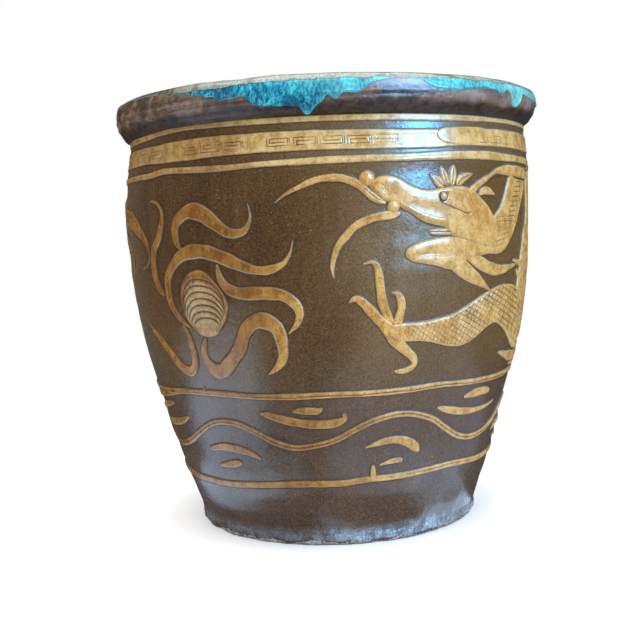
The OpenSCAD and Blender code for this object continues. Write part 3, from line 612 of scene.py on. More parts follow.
def tooled(depth=0.9, at=(0.0,), wid=0.5):
    """A line drawn down the strip with a pointed tool, at places across it."""
    def f(A, Z, U, S, sd, W):
        dh, cv = 0.0, np.zeros_like(U)
        for c in at:
            x = U - c * W - 0.25 * np.sin(S / 11.0)
            g = np.exp(-(x / wid) ** 2) * np.clip(sd - 0.2, 0, 1)
            dh = dh - depth * g
            cv = np.maximum(cv, g)
        return dh + 0 * U, cv
    return f


# ---------------------------------------------------------------------------
# Where each piece lies: [degrees round from the front, mm up, half width]
# ---------------------------------------------------------------------------
FLAMES = {
    "flame_crown": [[-40.6, 320.5, 1.2], [-41.8, 326, 3.6], [-42.2, 335, 4.9], [-41.6, 345, 5.3], [-39.6, 353, 6.4],
                    [-36.4, 358, 8], [-33, 355.4, 8.4], [-30, 347.4, 7.2], [-28, 341, 6.6], [-25.6, 334.6, 5.4],
                    [-23.3, 332.8, 4.8], [-21, 335, 3.6], [-19.7, 341.4, 2.3], [-19.1, 350, 1.3], [-19.6, 361.5, 0.5]],
    "flame_arc": [[-40.4, 240, 1.6], [-43, 246, 3], [-45, 253, 4], [-46.5, 262, 4.6], [-47, 272, 5.1], [-47, 281, 5.1],
                  [-46.5, 290, 5.1], [-45, 299, 5.5], [-43, 306.4, 5.7], [-41, 312.4, 6.2], [-38, 316.4, 7],
                  [-35, 317.4, 7.6], [-32, 316.2, 7.5], [-29.5, 313, 7.1], [-26.5, 308.4, 6.6], [-24, 304, 6.2],
                  [-21, 299.4, 5.2], [-18, 296.6, 4.6], [-15, 296.5, 4.3], [-12, 300.6, 3], [-10.4, 306, 2],
                  [-9.4, 313, 1.4], [-8.6, 325, 0.5]],
    "flame_middle": [[-29, 304, 1], [-28.8, 297, 2.2], [-28.2, 289, 4], [-26.9, 281.4, 5.2], [-24.5, 276, 6],
                     [-21.5, 273.8, 6.2], [-18, 273.6, 6.4], [-15, 273, 6.4], [-12, 271, 6], [-9.9, 266, 5.4],
                     [-8.3, 258.5, 4.6], [-8, 250, 3.9], [-9, 241.5, 2.9], [-11.2, 233, 0.8]],
    "flame_arch": [[-35.4, 229, 2.6], [-36.4, 220, 3.6], [-37, 211.6, 4.8], [-36.6, 204, 5.6], [-35.2, 197, 6.8],
                   [-33.2, 193.4, 7.8], [-31, 195.4, 8.2], [-28.8, 203, 7.8], [-26.6, 211.5, 7.2], [-25, 220, 7],
                   [-24, 228.5, 7], [-22.6, 237, 7.4], [-20.5, 243.8, 8], [-17.9, 246.4, 8.4], [-14.7, 241, 7.1],
                   [-13.4, 231.5, 6.5], [-13, 221.5, 6], [-13, 211.6, 5.4], [-14, 203, 4.5], [-15.8, 196.4, 2.7],
                   [-18, 191.4, 0.5]],
    "flame_hook": [[-43, 242, 2], [-41.9, 234, 3.4], [-41.4, 226, 4.1], [-41, 216, 4.5], [-41, 206, 4.6],
                   [-42, 197, 5.1], [-44, 192, 5.8], [-46.6, 193.4, 5.6], [-49.5, 200, 5.4], [-51.6, 208.5, 5.4],
                   [-54, 217, 5], [-56.2, 224.4, 4.4], [-59, 233, 3.2], [-61.8, 240.4, 0.8]],
    "flame_snake": [[-49.2, 271.6, 1.6], [-51, 279, 3.8], [-52, 287, 4.9], [-52.6, 296, 5.1], [-53, 306, 5.1],
                    [-52.6, 316, 5.1], [-51.4, 324.6, 4.7], [-49.6, 331.6, 4.5], [-48.4, 340, 4.3], [-47.2, 349, 3.5],
                    [-47, 358, 2.6], [-48, 365, 2.1], [-49.6, 369.6, 1.6], [-52.2, 371, 0.6]],
}
WHISKER_UP = [[-12.6, 360.6, 0.5], [-10, 368, 1.5], [-7, 374, 2.2], [-4.5, 378.5, 3], [-2, 381.6, 3.3],
              [0.5, 382.6, 3.8], [3.3, 381.6, 3.7], [5.5, 378.4, 3.7], [7.5, 374, 3.8], [9, 368.4, 4],
              [10.6, 362.6, 4.3], [12.4, 358.6, 3.2], [13.8, 356.6, 1.4]]
WHISKER_LOW = [[17.5, 346.6, 1.8], [15.5, 344.6, 4], [12, 343, 4.1], [9, 340, 4.2], [6, 334.5, 4], [4, 326.5, 3.8],
               [2, 317, 3.5], [1, 306.5, 3], [0.5, 296.5, 2.4], [0.8, 286.2, 0.5]]
ANTLER = [[36.2, 358.6, 3.6, 1.4], [38.6, 365.8, 4.0, 0], [41, 372.2, 3.8, 0], [43.8, 377.6, 3.0, 0], [46.2, 382.4, 2.3, 0],
          [48.4, 386.4, 2.8, 0], [51.4, 387.6, 4.4, 0], [54.6, 387.6, 5.4, 0.8], [58.6, 387, 6.0, 2.2],
          [63.6, 386, 5.6, 2.4], [68, 384, 2.8, 2.4]]
EAR = [[41, 362.6, 2.8], [42.6, 366.2, 4.2], [45, 366, 3.8], [47.6, 362.2, 0.8]]
CREST = [[[29.4, 370.6, 3.4], [27.6, 376.4, 4.6], [25.4, 383.6, 0.8]], [[30.6, 371, 3.2], [29.6, 381.4, 4.8], [28.6, 391, 0.8]],
         [[31.8, 371, 3.2], [32.4, 383, 4.8], [32.6, 392, 0.8]], [[33.4, 371.6, 3.4], [35.2, 378.6, 4.8], [38.8, 383.4, 0.8]]]
TONGUE = [[31, 326.2, 3.4], [28.6, 326.4, 3.6], [26.2, 326.4, 3.2], [24.9, 326.4, 2]]
NECK_E = [[46.9, 339.6], [48.2, 344], [49.7, 348], [50.8, 353], [51.6, 358], [52.6, 364], [53.3, 370], [54.4, 377],
          [55.6, 384], [57.4, 393]]
NECK_F = [[42.6, 302.4], [49, 300.8], [52.7, 305], [56, 315], [58.8, 325], [61, 337], [62.9, 348], [65.2, 359],
          [67.2, 371], [69.4, 393]]
BODY = [[75.4, 393, 21.6], [76.8, 370, 21.8], [77, 345, 22.5], [74.4, 318, 24.5], [71, 292, 28], [69.6, 272, 30],
        [71, 250, 31], [77, 230, 28], [86, 222, 25], [97, 222, 23], [106, 231, 22], [113, 252, 22], [120, 280, 22],
        [128, 304, 21], [139, 312, 20], [149, 300, 20], [156, 274, 19], [163, 248, 19], [172, 233, 18], [182, 236, 18],
        [190, 256, 17], [197, 282, 16], [205, 303, 15], [215, 311, 14], [225, 301, 12.4], [232, 280, 11],
        [239, 260, 9.6], [247, 249, 8.4], [255, 253, 7.2], [261, 268, 6.2], [266, 286, 5.2], [271, 304, 4.4],
        [275, 322, 3.6], [279, 338, 2.8]]
FINS = [[[81.8, 363, 4.6], [87.8, 373, 1]], [[82, 344, 4.6], [88.6, 350, 1]],
        [[81, 319, 4.8], [87.6, 327, 1]], [[79, 297, 4.8], [85.4, 305, 1]], [[77.6, 278, 4.8], [84, 286, 1]],
        [[80, 260, 4.8], [85.4, 270.4, 1]], [[87, 247, 4.8], [90.6, 259, 1]], [[96.8, 245, 4.8], [99, 257.6, 1]],
        [[118.6, 244, 4.6], [125, 239, 1]], [[125, 266, 4.6], [131.4, 262, 1]], [[131.4, 286, 4.6], [136.6, 277, 1]],
        [[139.8, 292, 4.4], [141, 279, 1]], [[160.6, 288, 4.2], [166.6, 295, 1]], [[166, 266, 4.2], [171.4, 275, 1]],
        [[174, 252, 4.2], [176.6, 264, 1]], [[195, 249, 4], [201, 244, 1]], [[201.6, 271, 4], [207.6, 266, 1]],
        [[209.4, 289, 3.8], [213, 279, 1]], [[227, 314, 3.4], [232.6, 321, 1]], [[236, 289, 3.2], [241.4, 294, 1]],
        [[243, 266, 3], [247.6, 274, 1]]]
SHOULDER_WISPS = [[[65, 286, 4], [61.6, 290.6, 3], [57.4, 293.2, 0.8]], [[64, 273, 3.4], [62, 278, 2.8], [60.2, 283.4, 0.8]]]
TUFT = [[[-80.6, 343, 2.6], [-80.8, 356, 4.6], [-79, 369, 4.2], [-75, 379, 0.8]],
        [[-79.4, 339, 3], [-76.4, 351, 6], [-72.4, 357, 8.6], [-67.6, 354, 9.4], [-63, 346, 8.6], [-59, 337, 6.6],
         [-56.4, 329, 4], [-55.1, 320, 1.9], [-55.2, 311, 1.3], [-57, 304, 1.1], [-60.4, 300, 0.6]],
        [[-79.6, 334, 3], [-75.4, 329, 5], [-71.4, 321, 5], [-68.6, 309, 4], [-68.4, 297, 2.4], [-70.6, 288, 0.7]],
        [[277.4, 342, 2.6], [273, 356, 5], [270.6, 367, 4.4], [271, 378, 0.8]]]
LEG_TOP = [[13.4, 233], [14.8, 237.6], [17.4, 238.6], [22, 237.8], [27, 239.6], [32, 242.8], [36, 248.6], [40.4, 256],
           [45, 263], [50, 267.4], [54.6, 268.2], [59.6, 265.4], [62.4, 256], [65.6, 233], [69.6, 216]]
LEG_LOW = [[13.8, 227], [15, 221.6], [18, 219], [22, 218.8], [25.4, 217], [28.8, 213.4], [32.4, 210], [36.4, 209.2],
           [40.4, 213.6], [44, 221], [47, 226.6], [51, 227.8], [57, 216.6], [64.4, 198], [70.4, 192]]
CLAWS = {
    "foreleg_near_claws": [
        [[15.4, 230, 5], [14.2, 240, 5.2], [13.8, 246, 5], [13.2, 253, 5], [12.4, 263.5, 4.8], [12, 276.5, 4.3], [11.6, 288, 3.9],
         [11, 296, 3.3], [9.9, 299.6, 2.2], [8, 298, 0.8]],
        [[15, 230, 8], [13.3, 236.5, 6.2], [11, 245.4, 5.2], [8.9, 254.6, 4.6], [7, 262, 4.2], [5.6, 264.6, 3], [4.1, 261.4, 0.9]],
        [[16.2, 236, 5.2], [16.9, 246, 4.6], [17.4, 254.6, 4.2], [17.1, 262, 3.8], [16.2, 267.6, 2.6], [14.8, 269, 0.8]],
        [[16.6, 232, 4.4], [15, 226, 6.2], [17.2, 216, 5.8], [19.2, 209, 5.2], [21, 203.2, 4.2], [21.7, 197.4, 3.4], [21, 192.2, 3.2],
         [19.2, 189.2, 3], [17.4, 188.6, 2.6], [16, 189.2, 1]]],
    "foreleg_far_claws": [
        [[79.4, 185, 5], [72, 184.6, 5.7], [66, 186, 5.7], [60.6, 189.2, 4.2], [57, 192.4, 2.6], [54.8, 194.4, 0.8]],
        [[80.2, 179, 3], [75.4, 175.6, 2.6], [71, 174.8, 2], [67, 176.4, 0.7]],
        [[81, 192.6, 2.8], [77, 195.6, 2.6], [74.6, 195.6, 2], [72.4, 193.4, 0.7]]],
    "hindleg_near_claws": [
        [[136, 222, 4.6], [131, 208.6, 4.4], [128, 199, 3.2], [128.6, 188, 0.8]],
        [[138.4, 223, 4.8], [139.8, 207, 4.6], [139, 196, 3.4], [136.6, 185, 0.8]],
        [[141.4, 229, 4.8], [147.4, 217.6, 4.4], [149.6, 208, 3.4], [148.6, 198, 0.8]],
        [[143.4, 237, 4.8], [151.6, 234.4, 4.4], [155.6, 228, 3.2], [157, 218, 0.8]]],
    "hindleg_far_claws": [
        [[163.4, 337, 4.4], [155, 333.6, 4.2], [150, 334.4, 3], [146, 338.6, 0.8]],
        [[163.6, 343.6, 4.6], [155.6, 351, 4.6], [150.6, 357.6, 3.4], [149, 367, 0.8]],
        [[166.6, 349.6, 4.6], [163, 362.4, 4.4], [162.8, 371.4, 3.2], [165, 380, 0.8]],
        [[169.6, 349, 4.6], [173.4, 363.6, 4.2], [177, 369, 3], [182, 371.6, 0.8]]],
}
LEGS = {
    "foreleg_far": ([[92, 197], [86.4, 194.6], [82.4, 192.6], [79, 189.4]], [[94, 187], [87, 179.8], [83, 177], [79.2, 180.4]]),
    "hindleg_near": ([[125, 283], [121.4, 268], [120.6, 254], [123, 240], [128, 228], [135, 221]],
                     [[134.6, 289], [133, 276], [131.6, 264], [133.4, 252], [137, 243], [142.4, 236]]),
    "hindleg_far": ([[197, 299], [190, 306], [184, 318], [181, 332], [176, 344], [168.6, 350.6]],
                    [[189, 284], [180, 290], [174, 300], [170, 314], [167, 326], [162.4, 334]]),
}
REAR_FLAMES = [
    [[103, 262, 1], [100, 276, 4.6], [101, 292, 6], [106, 306, 6], [110, 320, 4.6], [108, 334, 2.6], [104, 342, 0.8]],
    [[108, 290, 1], [112, 306, 4.4], [118, 322, 5], [122, 338, 3.6], [120, 350, 0.8]],
    [[208, 262, 1], [214, 256, 4.2], [221, 258, 4.8], [226, 246, 4], [224, 234, 0.8]],
    [[206, 240, 1], [212, 232, 4], [214, 220, 4.4], [209, 208, 3.2], [203, 202, 0.8]]]
WISPS = [
    [[96, 372, 0.8], [101, 378, 3.6], [108, 379, 4.6], [114, 373, 4], [120, 376, 4.4], [127, 381, 3.4], [133, 378, 0.8]],
    [[103, 361, 0.8], [108, 365, 3], [115, 361, 3.4], [121, 363, 0.8]],
    [[186, 366, 0.8], [191, 374, 3.6], [198, 377, 4.6], [204, 370, 4], [210, 371, 4.2], [217, 377, 3.4], [223, 373, 0.8]],
    [[196, 357, 0.8], [202, 358, 3.4], [208, 355, 0.8]],
    [[232, 334, 0.8], [236, 344, 3.8], [243, 348, 4.8], [249, 340, 4.4], [256, 343, 4.4], [261, 351, 3.4], [259, 360, 0.8]],
    [[234, 370, 0.8], [241, 376, 3.6], [249, 374, 4], [256, 379, 3], [262, 377, 0.8]],
    [[228, 205, 0.8], [234, 214, 3.8], [242, 215, 4.6], [248, 206, 4], [255, 208, 4.2], [261, 217, 3.2], [266, 214, 0.8]],
    [[240, 192, 0.8], [247, 190, 3.4], [254, 193, 3.4], [260, 191, 0.8]],
    [[168, 202, 0.8], [174, 208, 3.6], [181, 205, 4.2], [187, 208, 3.6], [192, 205, 0.8]]]
LINE_A = [[-170, 168], [-140, 169], [-110, 168], [-85, 165], [-70, 163.4], [-60, 165], [-50, 168], [-40, 169.2],
          [-30, 168.6], [-20, 167.6], [-10, 168.2], [0, 168.8], [10, 168.4], [20, 168.8], [30, 170.2], [40, 168.4],
          [50, 167.4], [60, 167], [80, 168], [110, 169.6], [140, 168], [165, 167]]
LINE_B = [[-170, 72], [-140, 70], [-110, 68], [-85, 67], [-60, 65.6], [-50, 65.6], [-40, 66], [-30, 68], [-20, 70.6],
          [-10, 72], [0, 72.2], [10, 75], [20, 75], [30, 77], [40, 78], [50, 76], [60, 74], [80, 74], [110, 73],
          [140, 74], [165, 73]]
WAVE = [[-172, 139], [-160, 124], [-148, 112], [-136, 123], [-124, 140], [-112, 122], [-101, 109], [-93, 124],
        [-85, 131], [-78, 116], [-70, 101.6], [-65, 101.6], [-60, 105], [-55, 110.6], [-50, 119], [-45, 128.4],
        [-40, 135.6], [-35, 138], [-30, 136.4], [-25, 129], [-20, 120], [-15, 114], [-11, 112.5], [-5, 116],
        [0, 121], [5, 130], [10, 138], [15, 142.6], [18, 143.6], [22, 142.6], [26, 139], [30, 133.4], [35, 122],
        [40, 112], [45, 106], [50, 104.4], [55, 106], [60, 110], [65, 117], [74, 134], [83, 130], [93, 110],
        [100, 106], [108, 116], [118, 136], [127, 139], [137, 120], [148, 108], [158, 118], [170, 136]]
DASH_UP = [
    [[-22, 149.6, 1.2], [-20, 148, 3.2], [-16.6, 144, 4.2], [-13, 141, 4.6], [-8, 138.6, 4.6], [-3, 138, 4.5],
     [0.4, 139.4, 4.1], [2.3, 143, 3.2], [2.2, 149, 1.6]],
    [[-12.4, 152, 0.8], [-10, 152.6, 3.6], [-7.4, 152.6, 4.2], [-5, 152.6, 3.4], [-4, 156.4, 1]],
    [[31, 146, 0.9], [33, 143.6, 3.2], [35.6, 141, 4.1], [40, 137, 4.1], [45, 134.6, 3.6], [50, 134.5, 2.9],
     [55, 135.6, 2.2], [60.4, 139, 0.8]],
    [[41, 151.6, 1.4], [45, 153.4, 4.4], [50, 154.4, 4.7], [54.4, 153, 3]],
    [[-78, 155.6, 4], [-68, 158.6, 4.2], [-62, 161, 3.4], [-54, 164.4, 1.4]],
    [[-80, 138, 3.4], [-71, 144, 3.4], [-65, 148, 3], [-60.4, 151.4, 1.2]],
    [[-78, 121.6, 4], [-71, 124, 4], [-65, 127, 4.2], [-58, 131, 3.6], [-52.4, 137.4, 1]],
    [[86, 146, 1], [91, 140, 3.8], [98, 135, 4.2], [106, 138, 3.6], [112, 146, 1]],
    [[94, 154, 1], [99, 153, 3.6], [105, 155, 1]],
    [[137, 147, 1], [142, 141, 3.8], [149, 138, 4.2], [156, 141, 3.6], [162, 149, 1]],
    [[145, 155, 1], [150, 154, 3.6], [155, 156, 1]],
    [[189, 152, 1], [194, 145, 3.6], [202, 141, 4.2], [210, 142, 3.8], [217, 150, 1]],
    [[198, 157, 1], [204, 156, 3.4], [210, 158, 1]],
    [[250, 141, 3.8], [256, 139, 4.2], [262, 142, 3.4], [266, 148, 1]]]
DASH_LOW = [
    [[-45, 104.6, 1.4], [-42.4, 106.6, 3.4], [-39.6, 108.6, 4.1], [-35, 109.4, 4.4], [-30, 106.6, 3.9], [-27, 103, 3],
     [-24.6, 98.4, 1]],
    [[-41.8, 87.4, 1.4], [-39, 89, 3.2], [-35, 91.4, 3.8], [-32, 93, 2.4]],
    [[8.4, 110, 0.9], [11.4, 112.8, 2.6], [14, 115, 3.4], [17, 116, 4.1], [20, 114.6, 4.6], [22.6, 111, 5.6],
     [24.6, 105.6, 5], [26, 99.4, 1.2]],
    [[13, 89.4, 0.9], [15.4, 91.8, 2.2], [17.6, 93.2, 3], [20.6, 93.4, 2.6]],
    [[65, 101, 1], [70, 107, 3.8], [76, 108, 4.2], [82, 104, 3.4], [86, 97, 1]],
    [[70, 90, 1], [75, 92, 3.4], [80, 90, 1]],
    [[114, 104, 1], [119, 111, 3.8], [125, 112, 4.2], [131, 107, 3.4], [135, 99, 1]],
    [[119, 92, 1], [124, 94, 3.4], [129, 92, 1]],
    [[168, 103, 1], [173, 110, 3.8], [180, 111, 4.2], [186, 106, 3.4], [190, 98, 1]],
    [[174, 91, 1], [179, 93, 3.4], [184, 91, 1]],
    [[226, 105, 1], [231, 112, 3.8], [237, 113, 4.2], [242, 108, 3.4], [245, 101, 1]],
    [[230, 93, 1], [235, 95, 3.4], [240, 93, 1]],
    [[268, 102, 1], [272, 108, 3.4], [276, 108, 3.6], [280, 100, 1]]]


# ---------------------------------------------------------------------------
# Materials
# ---------------------------------------------------------------------------
class Nodes:
    def __init__(self, name):
        self.mat = bpy.data.materials.new(name)
        self.mat.use_nodes = True
        self.t = self.mat.node_tree
        self.t.nodes.clear()
        self.out = self.t.nodes.new("ShaderNodeOutputMaterial")
        self.co = self.t.nodes.new("ShaderNodeTexCoord").outputs["Object"]

    def set(self, sock, v):
        if isinstance(v, bpy.types.NodeSocket):
            self.t.links.new(v, sock)
        elif isinstance(v, (tuple, list)) and sock.type == "RGBA":
            sock.default_value = (*v[:3], 1.0)
        else:
            sock.default_value = v

    def m(self, op, a, b=0.5, c=0.5, clamp=False):
        n = self.t.nodes.new("ShaderNodeMath")
        n.operation = op
        n.use_clamp = clamp
        self.set(n.inputs[0], a)
        self.set(n.inputs[1], b)
        self.set(n.inputs[2], c)
        return n.outputs[0]

    def mix(self, f, a, b, blend="MIX"):
        n = self.t.nodes.new("ShaderNodeMix")
        n.data_type = "RGBA"
        n.blend_type = blend
        n.clamp_factor = True
        self.set(n.inputs[0], f)
        self.set(n.inputs[6], a)
        self.set(n.inputs[7], b)
        return n.outputs[2]

    def stretch(self, scale, vec=None, off=(0, 0, 0)):
        n = self.t.nodes.new("ShaderNodeMapping")
        self.t.links.new(vec or self.co, n.inputs["Vector"])
        n.inputs["Scale"].default_value = scale
        n.inputs["Location"].default_value = off
        return n.outputs[0]

    def noise(self, vec, scale, detail=3.0, rough=0.55, dist=0.0):
        n = self.t.nodes.new("ShaderNodeTexNoise")
        self.t.links.new(vec, n.inputs["Vector"])
        n.inputs["Scale"].default_value = scale
        n.inputs["Detail"].default_value = detail
        n.inputs["Roughness"].default_value = rough
        n.inputs["Distortion"].default_value = dist
        return n.outputs["Fac"]

    def voronoi(self, vec, scale, feature="F1"):
        n = self.t.nodes.new("ShaderNodeTexVoronoi")
        n.feature = feature
        self.t.links.new(vec, n.inputs["Vector"])
        n.inputs["Scale"].default_value = scale
        return n

    def step(self, v, e0, e1):
        n = self.t.nodes.new("ShaderNodeMapRange")
        n.interpolation_type = "SMOOTHSTEP"
        self.set(n.inputs["Value"], v)
        n.inputs["From Min"].default_value = e0
        n.inputs["From Max"].default_value = e1
        n.inputs["To Min"].default_value = 0.0
        n.inputs["To Max"].default_value = 1.0
        return n.outputs[0]

    def attr(self, name):
        n = self.t.nodes.new("ShaderNodeAttribute")
        n.attribute_name = name
        return n.outputs["Fac"]

    def bump(self, height, dist, strength=1.0, normal=None):
        n = self.t.nodes.new("ShaderNodeBump")
        n.inputs["Strength"].default_value = strength
        n.inputs["Distance"].default_value = dist
        self.t.links.new(height, n.inputs["Height"])
        if normal is not None:
            self.t.links.new(normal, n.inputs["Normal"])
        return n.outputs[0]

    def shader(self, color, rough, normal=None, coat=0.0, coat_rough=0.1, ior=1.5):
        n = self.t.nodes.new("ShaderNodeBsdfPrincipled")
        self.set(n.inputs["Base Color"], color)
        self.set(n.inputs["Roughness"], rough)
        n.inputs["IOR"].default_value = ior
        n.inputs["Coat Weight"].default_value = coat
        n.inputs["Coat Roughness"].default_value = coat_rough
        if normal is not None:
            self.t.links.new(normal, n.inputs["Normal"])
        self.t.links.new(n.outputs[0], self.out.inputs["Surface"])
        return n


def ground(N):
    """The brown glaze: olive to chocolate, run in streaks, with iron specks, pale specks and pin-holes."""
    tall = N.stretch((1, 1, 0.10))
    mid = N.stretch((1, 1, 0.35))
    streak = N.noise(tall, 70, 5, 0.62, 0.4)
    streak2 = N.noise(N.stretch((1, 1, 0.06), off=(3.1, 1.7, 0.4)), 34, 4, 0.6, 0.3)
    cloud = N.noise(mid, 13, 3, 0.5)
    fine = N.noise(N.co, 620, 3, 0.7)
    grain = N.noise(N.co, 240, 4, 0.65)
    dark = N.attr("z_dark")
    rust = N.attr("z_rust")
    low = N.attr("z_low")
    olive = N.mix(N.step(cloud, 0.35, 0.68), (0.104, 0.060, 0.018), (0.150, 0.092, 0.031))
    choc = N.mix(N.step(streak, 0.3, 0.7), (0.042, 0.0160, 0.0042), (0.084, 0.036, 0.010))
    f = N.m("ADD", dark, N.m("MULTIPLY", N.m("SUBTRACT", streak, 0.5), 0.75))
    c = N.mix(N.step(f, 0.1, 0.95), olive, choc)
    # painted sheen: a paler grey-olive over the broad zones that catch the light, partly the glaze's own ash tone
    ash = N.m("MULTIPLY", N.attr("z_grey_olive_and_sheen"), N.m("ADD", 0.55, N.m("MULTIPLY", cloud, 0.6)), clamp=True)
    c = N.mix(ash, c, N.mix(N.step(streak, 0.35, 0.65), (0.165, 0.128, 0.080), (0.230, 0.185, 0.120)))
    # darker and violet towards the foot: partly the glaze's own tone, partly painted shade and a painted blue
    # reflection of the ground
    violet = N.mix(N.step(cloud, 0.3, 0.7), (0.038, 0.024, 0.025), (0.064, 0.044, 0.043))
    c = N.mix(N.m("MULTIPLY", low, N.m("ADD", 0.66, N.m("MULTIPLY", grain, 0.5)), clamp=True), c, violet)
    r = N.m("MULTIPLY", N.m("MULTIPLY", N.step(streak2, 0.46, 0.70), rust), 0.5)
    c = N.mix(r, c, (0.125, 0.056, 0.016))
    # fine mottling of the glaze, then specks
    c = N.mix(N.step(fine, 0.32, 0.70), N.mix(0.42, c, (0.014, 0.007, 0.003)), N.mix(0.17, c, (0.36, 0.26, 0.13)))
    c = N.mix(N.m("MULTIPLY", N.step(grain, 0.52, 0.75), 0.30), c, (0.20, 0.128, 0.060))
    v = N.voronoi(N.co, 230)
    pale = N.m("MULTIPLY", N.step(v.outputs["Distance"], 0.15, 0.05), N.step(N.noise(N.co, 37, 2), 0.50, 0.62))
    c = N.mix(N.m("MULTIPLY", pale, 0.75), c, (0.42, 0.36, 0.27))
    v2 = N.voronoi(N.stretch((1, 1, 1), off=(0.7, 0.3, 0.9)), 165)
    spot = N.m("MULTIPLY", N.step(v2.outputs["Distance"], 0.17, 0.06), N.step(N.noise(N.co, 23, 2), 0.46, 0.6))
    c = N.mix(N.m("MULTIPLY", spot, 0.8), c, (0.012, 0.006, 0.004))
    # milky blue glaze at the foot, most of all at the front: partly glaze pooled there, partly a painted blue
    # reflection
    blue_foot_glaze_and_reflection = N.m("MULTIPLY", N.attr("z_foot_glaze_and_reflection"), N.m("ADD", 0.25, N.m("MULTIPLY", N.step(N.noise(N.stretch((1, 1, 0.6)), 95, 4, 0.65), 0.36, 0.62), 0.85)), clamp=True)
    c = N.mix(blue_foot_glaze_and_reflection, c, N.mix(N.step(fine, 0.35, 0.65), (0.13, 0.20, 0.28), (0.30, 0.41, 0.54)))
    rough = N.m("ADD", 0.17, N.m("MULTIPLY", grain, 0.14))
    hgt = N.m("ADD", N.m("MULTIPLY", grain, 0.5), N.m("MULTIPLY", N.noise(N.co, 110, 3, 0.6), 0.9))
    hgt = N.m("SUBTRACT", hgt, N.m("MULTIPLY", spot, 0.5))
    return c, rough, hgt


def mat_ground(name="brown_glaze"):
    N = Nodes(name)
    c, rough, h = ground(N)
    N.shader(c, rough, N.bump(h, 0.0008, 0.6))
    return N.mat


def mat_relief(name="ochre_glaze"):
    """Amber glaze on the applied clay, with a painted highlight along the edges, brown where it lies thick in the
    lines.
    """
    N = Nodes(name)
    g, rough_g, h_g = ground(N)
    sd, carve, side = N.attr("sd"), N.attr("carve"), N.attr("side")
    shade = N.attr("z_shade")
    edge_n = N.noise(N.co, 300, 3, 0.6)
    mott = N.noise(N.stretch((1, 1, 0.7)), 85, 4, 0.62, 0.3)
    fine = N.noise(N.co, 520, 3, 0.7)
    big = N.noise(N.stretch((1, 1, 0.6), off=(2, 5, 1)), 21, 3, 0.5)
    straw = N.mix(N.step(mott, 0.34, 0.66), (0.40, 0.215, 0.042), (0.60, 0.375, 0.110))
    amber = N.mix(N.step(mott, 0.34, 0.66), (0.160, 0.066, 0.008), (0.31, 0.150, 0.023))
    f = N.m("ADD", shade, N.m("MULTIPLY", N.m("SUBTRACT", big, 0.5), 0.9))
    c = N.mix(N.step(f, 0.1, 0.95), straw, amber)
    # paler amber where the glaze is thin, and painted sheen over the broad zones that catch the light
    pale = N.m("MULTIPLY", N.attr("z_light_amber_and_sheen"), N.m("ADD", 0.75, N.m("MULTIPLY", N.m("SUBTRACT", big, 0.5), 0.9)), clamp=True)
    c = N.mix(pale, c, N.mix(N.step(mott, 0.34, 0.66), (0.47, 0.34, 0.12), (0.68, 0.56, 0.28)))
    # the glaze breaks into small darker pools and iron specks
    pools = N.noise(N.co, 260, 3, 0.65)
    # fewer dark pools where that pale amber and painted sheen lie
    thin = N.m("SUBTRACT", 1.0, N.m("MULTIPLY", pale, 0.55))
    c = N.mix(N.m("MULTIPLY", N.m("MULTIPLY", N.step(pools, 0.50, 0.68), 0.55), thin), c, (0.27, 0.105, 0.012))
    c = N.mix(N.m("MULTIPLY", N.m("MULTIPLY", N.step(fine, 0.50, 0.72), 0.70), thin), c, (0.12, 0.046, 0.008))
    c = N.mix(N.m("MULTIPLY", N.step(fine, 0.45, 0.24), 0.30), c, (0.80, 0.62, 0.30))
    # a painted highlight: a pale line just inside the edge, most of all on the edges that face down
    e = N.m("ADD", sd, N.m("MULTIPLY", N.m("SUBTRACT", edge_n, 0.5), 1.3))
    rim = N.m("MULTIPLY", N.step(e, 1.6, 0.6), N.step(e, 0.0, 0.5))
    under = N.step(side, -0.15, 0.75)
    c = N.mix(N.m("MULTIPLY", rim, N.m("ADD", 0.04, N.m("MULTIPLY", under, 0.42))), c, (0.58, 0.43, 0.25))
    # painted shade: darker amber on the edges that face up and to the right
    painted_side_shade = N.m("MULTIPLY", N.m("MULTIPLY", N.step(e, 1.4, 0.2), N.m("SUBTRACT", 1.0, under)), 0.50)
    c = N.mix(painted_side_shade, c, (0.12, 0.052, 0.012))
    c = N.mix(N.m("MULTIPLY", N.step(carve, 0.10, 0.62), 0.9), c, (0.095, 0.044, 0.013))
    # dark round the foot of the piece, a little lighter on the sides that face down: partly glaze pooled there, partly
    # painted shade
    dark_edge_glaze_and_shade = N.mix(0.75, g, (0.010, 0.005, 0.003))
    dark_edge_mask = N.m("MULTIPLY", N.step(e, -1.8, -0.8), N.m("ADD", 0.85, N.m("MULTIPLY", under, -0.15)))
    wallc = N.mix(dark_edge_mask, g, dark_edge_glaze_and_shade)
    c = N.mix(N.step(e, -0.30, 0.28), wallc, c)
    rough = N.m("ADD", N.m("ADD", 0.20, N.m("MULTIPLY", mott, 0.16)),
                N.m("MULTIPLY", N.m("MULTIPLY", N.step(e, 2.4, 1.0), N.step(e, -2.0, -1.2)), N.m("SUBTRACT", 0.30, N.m("MULTIPLY", under, 0.18))))
    h = N.m("ADD", N.m("MULTIPLY", fine, 0.30), N.m("MULTIPLY", N.noise(N.co, 130, 3, 0.6), 0.9))
    N.shader(c, rough, N.bump(h, 0.0006, 0.55))
    return N.mat


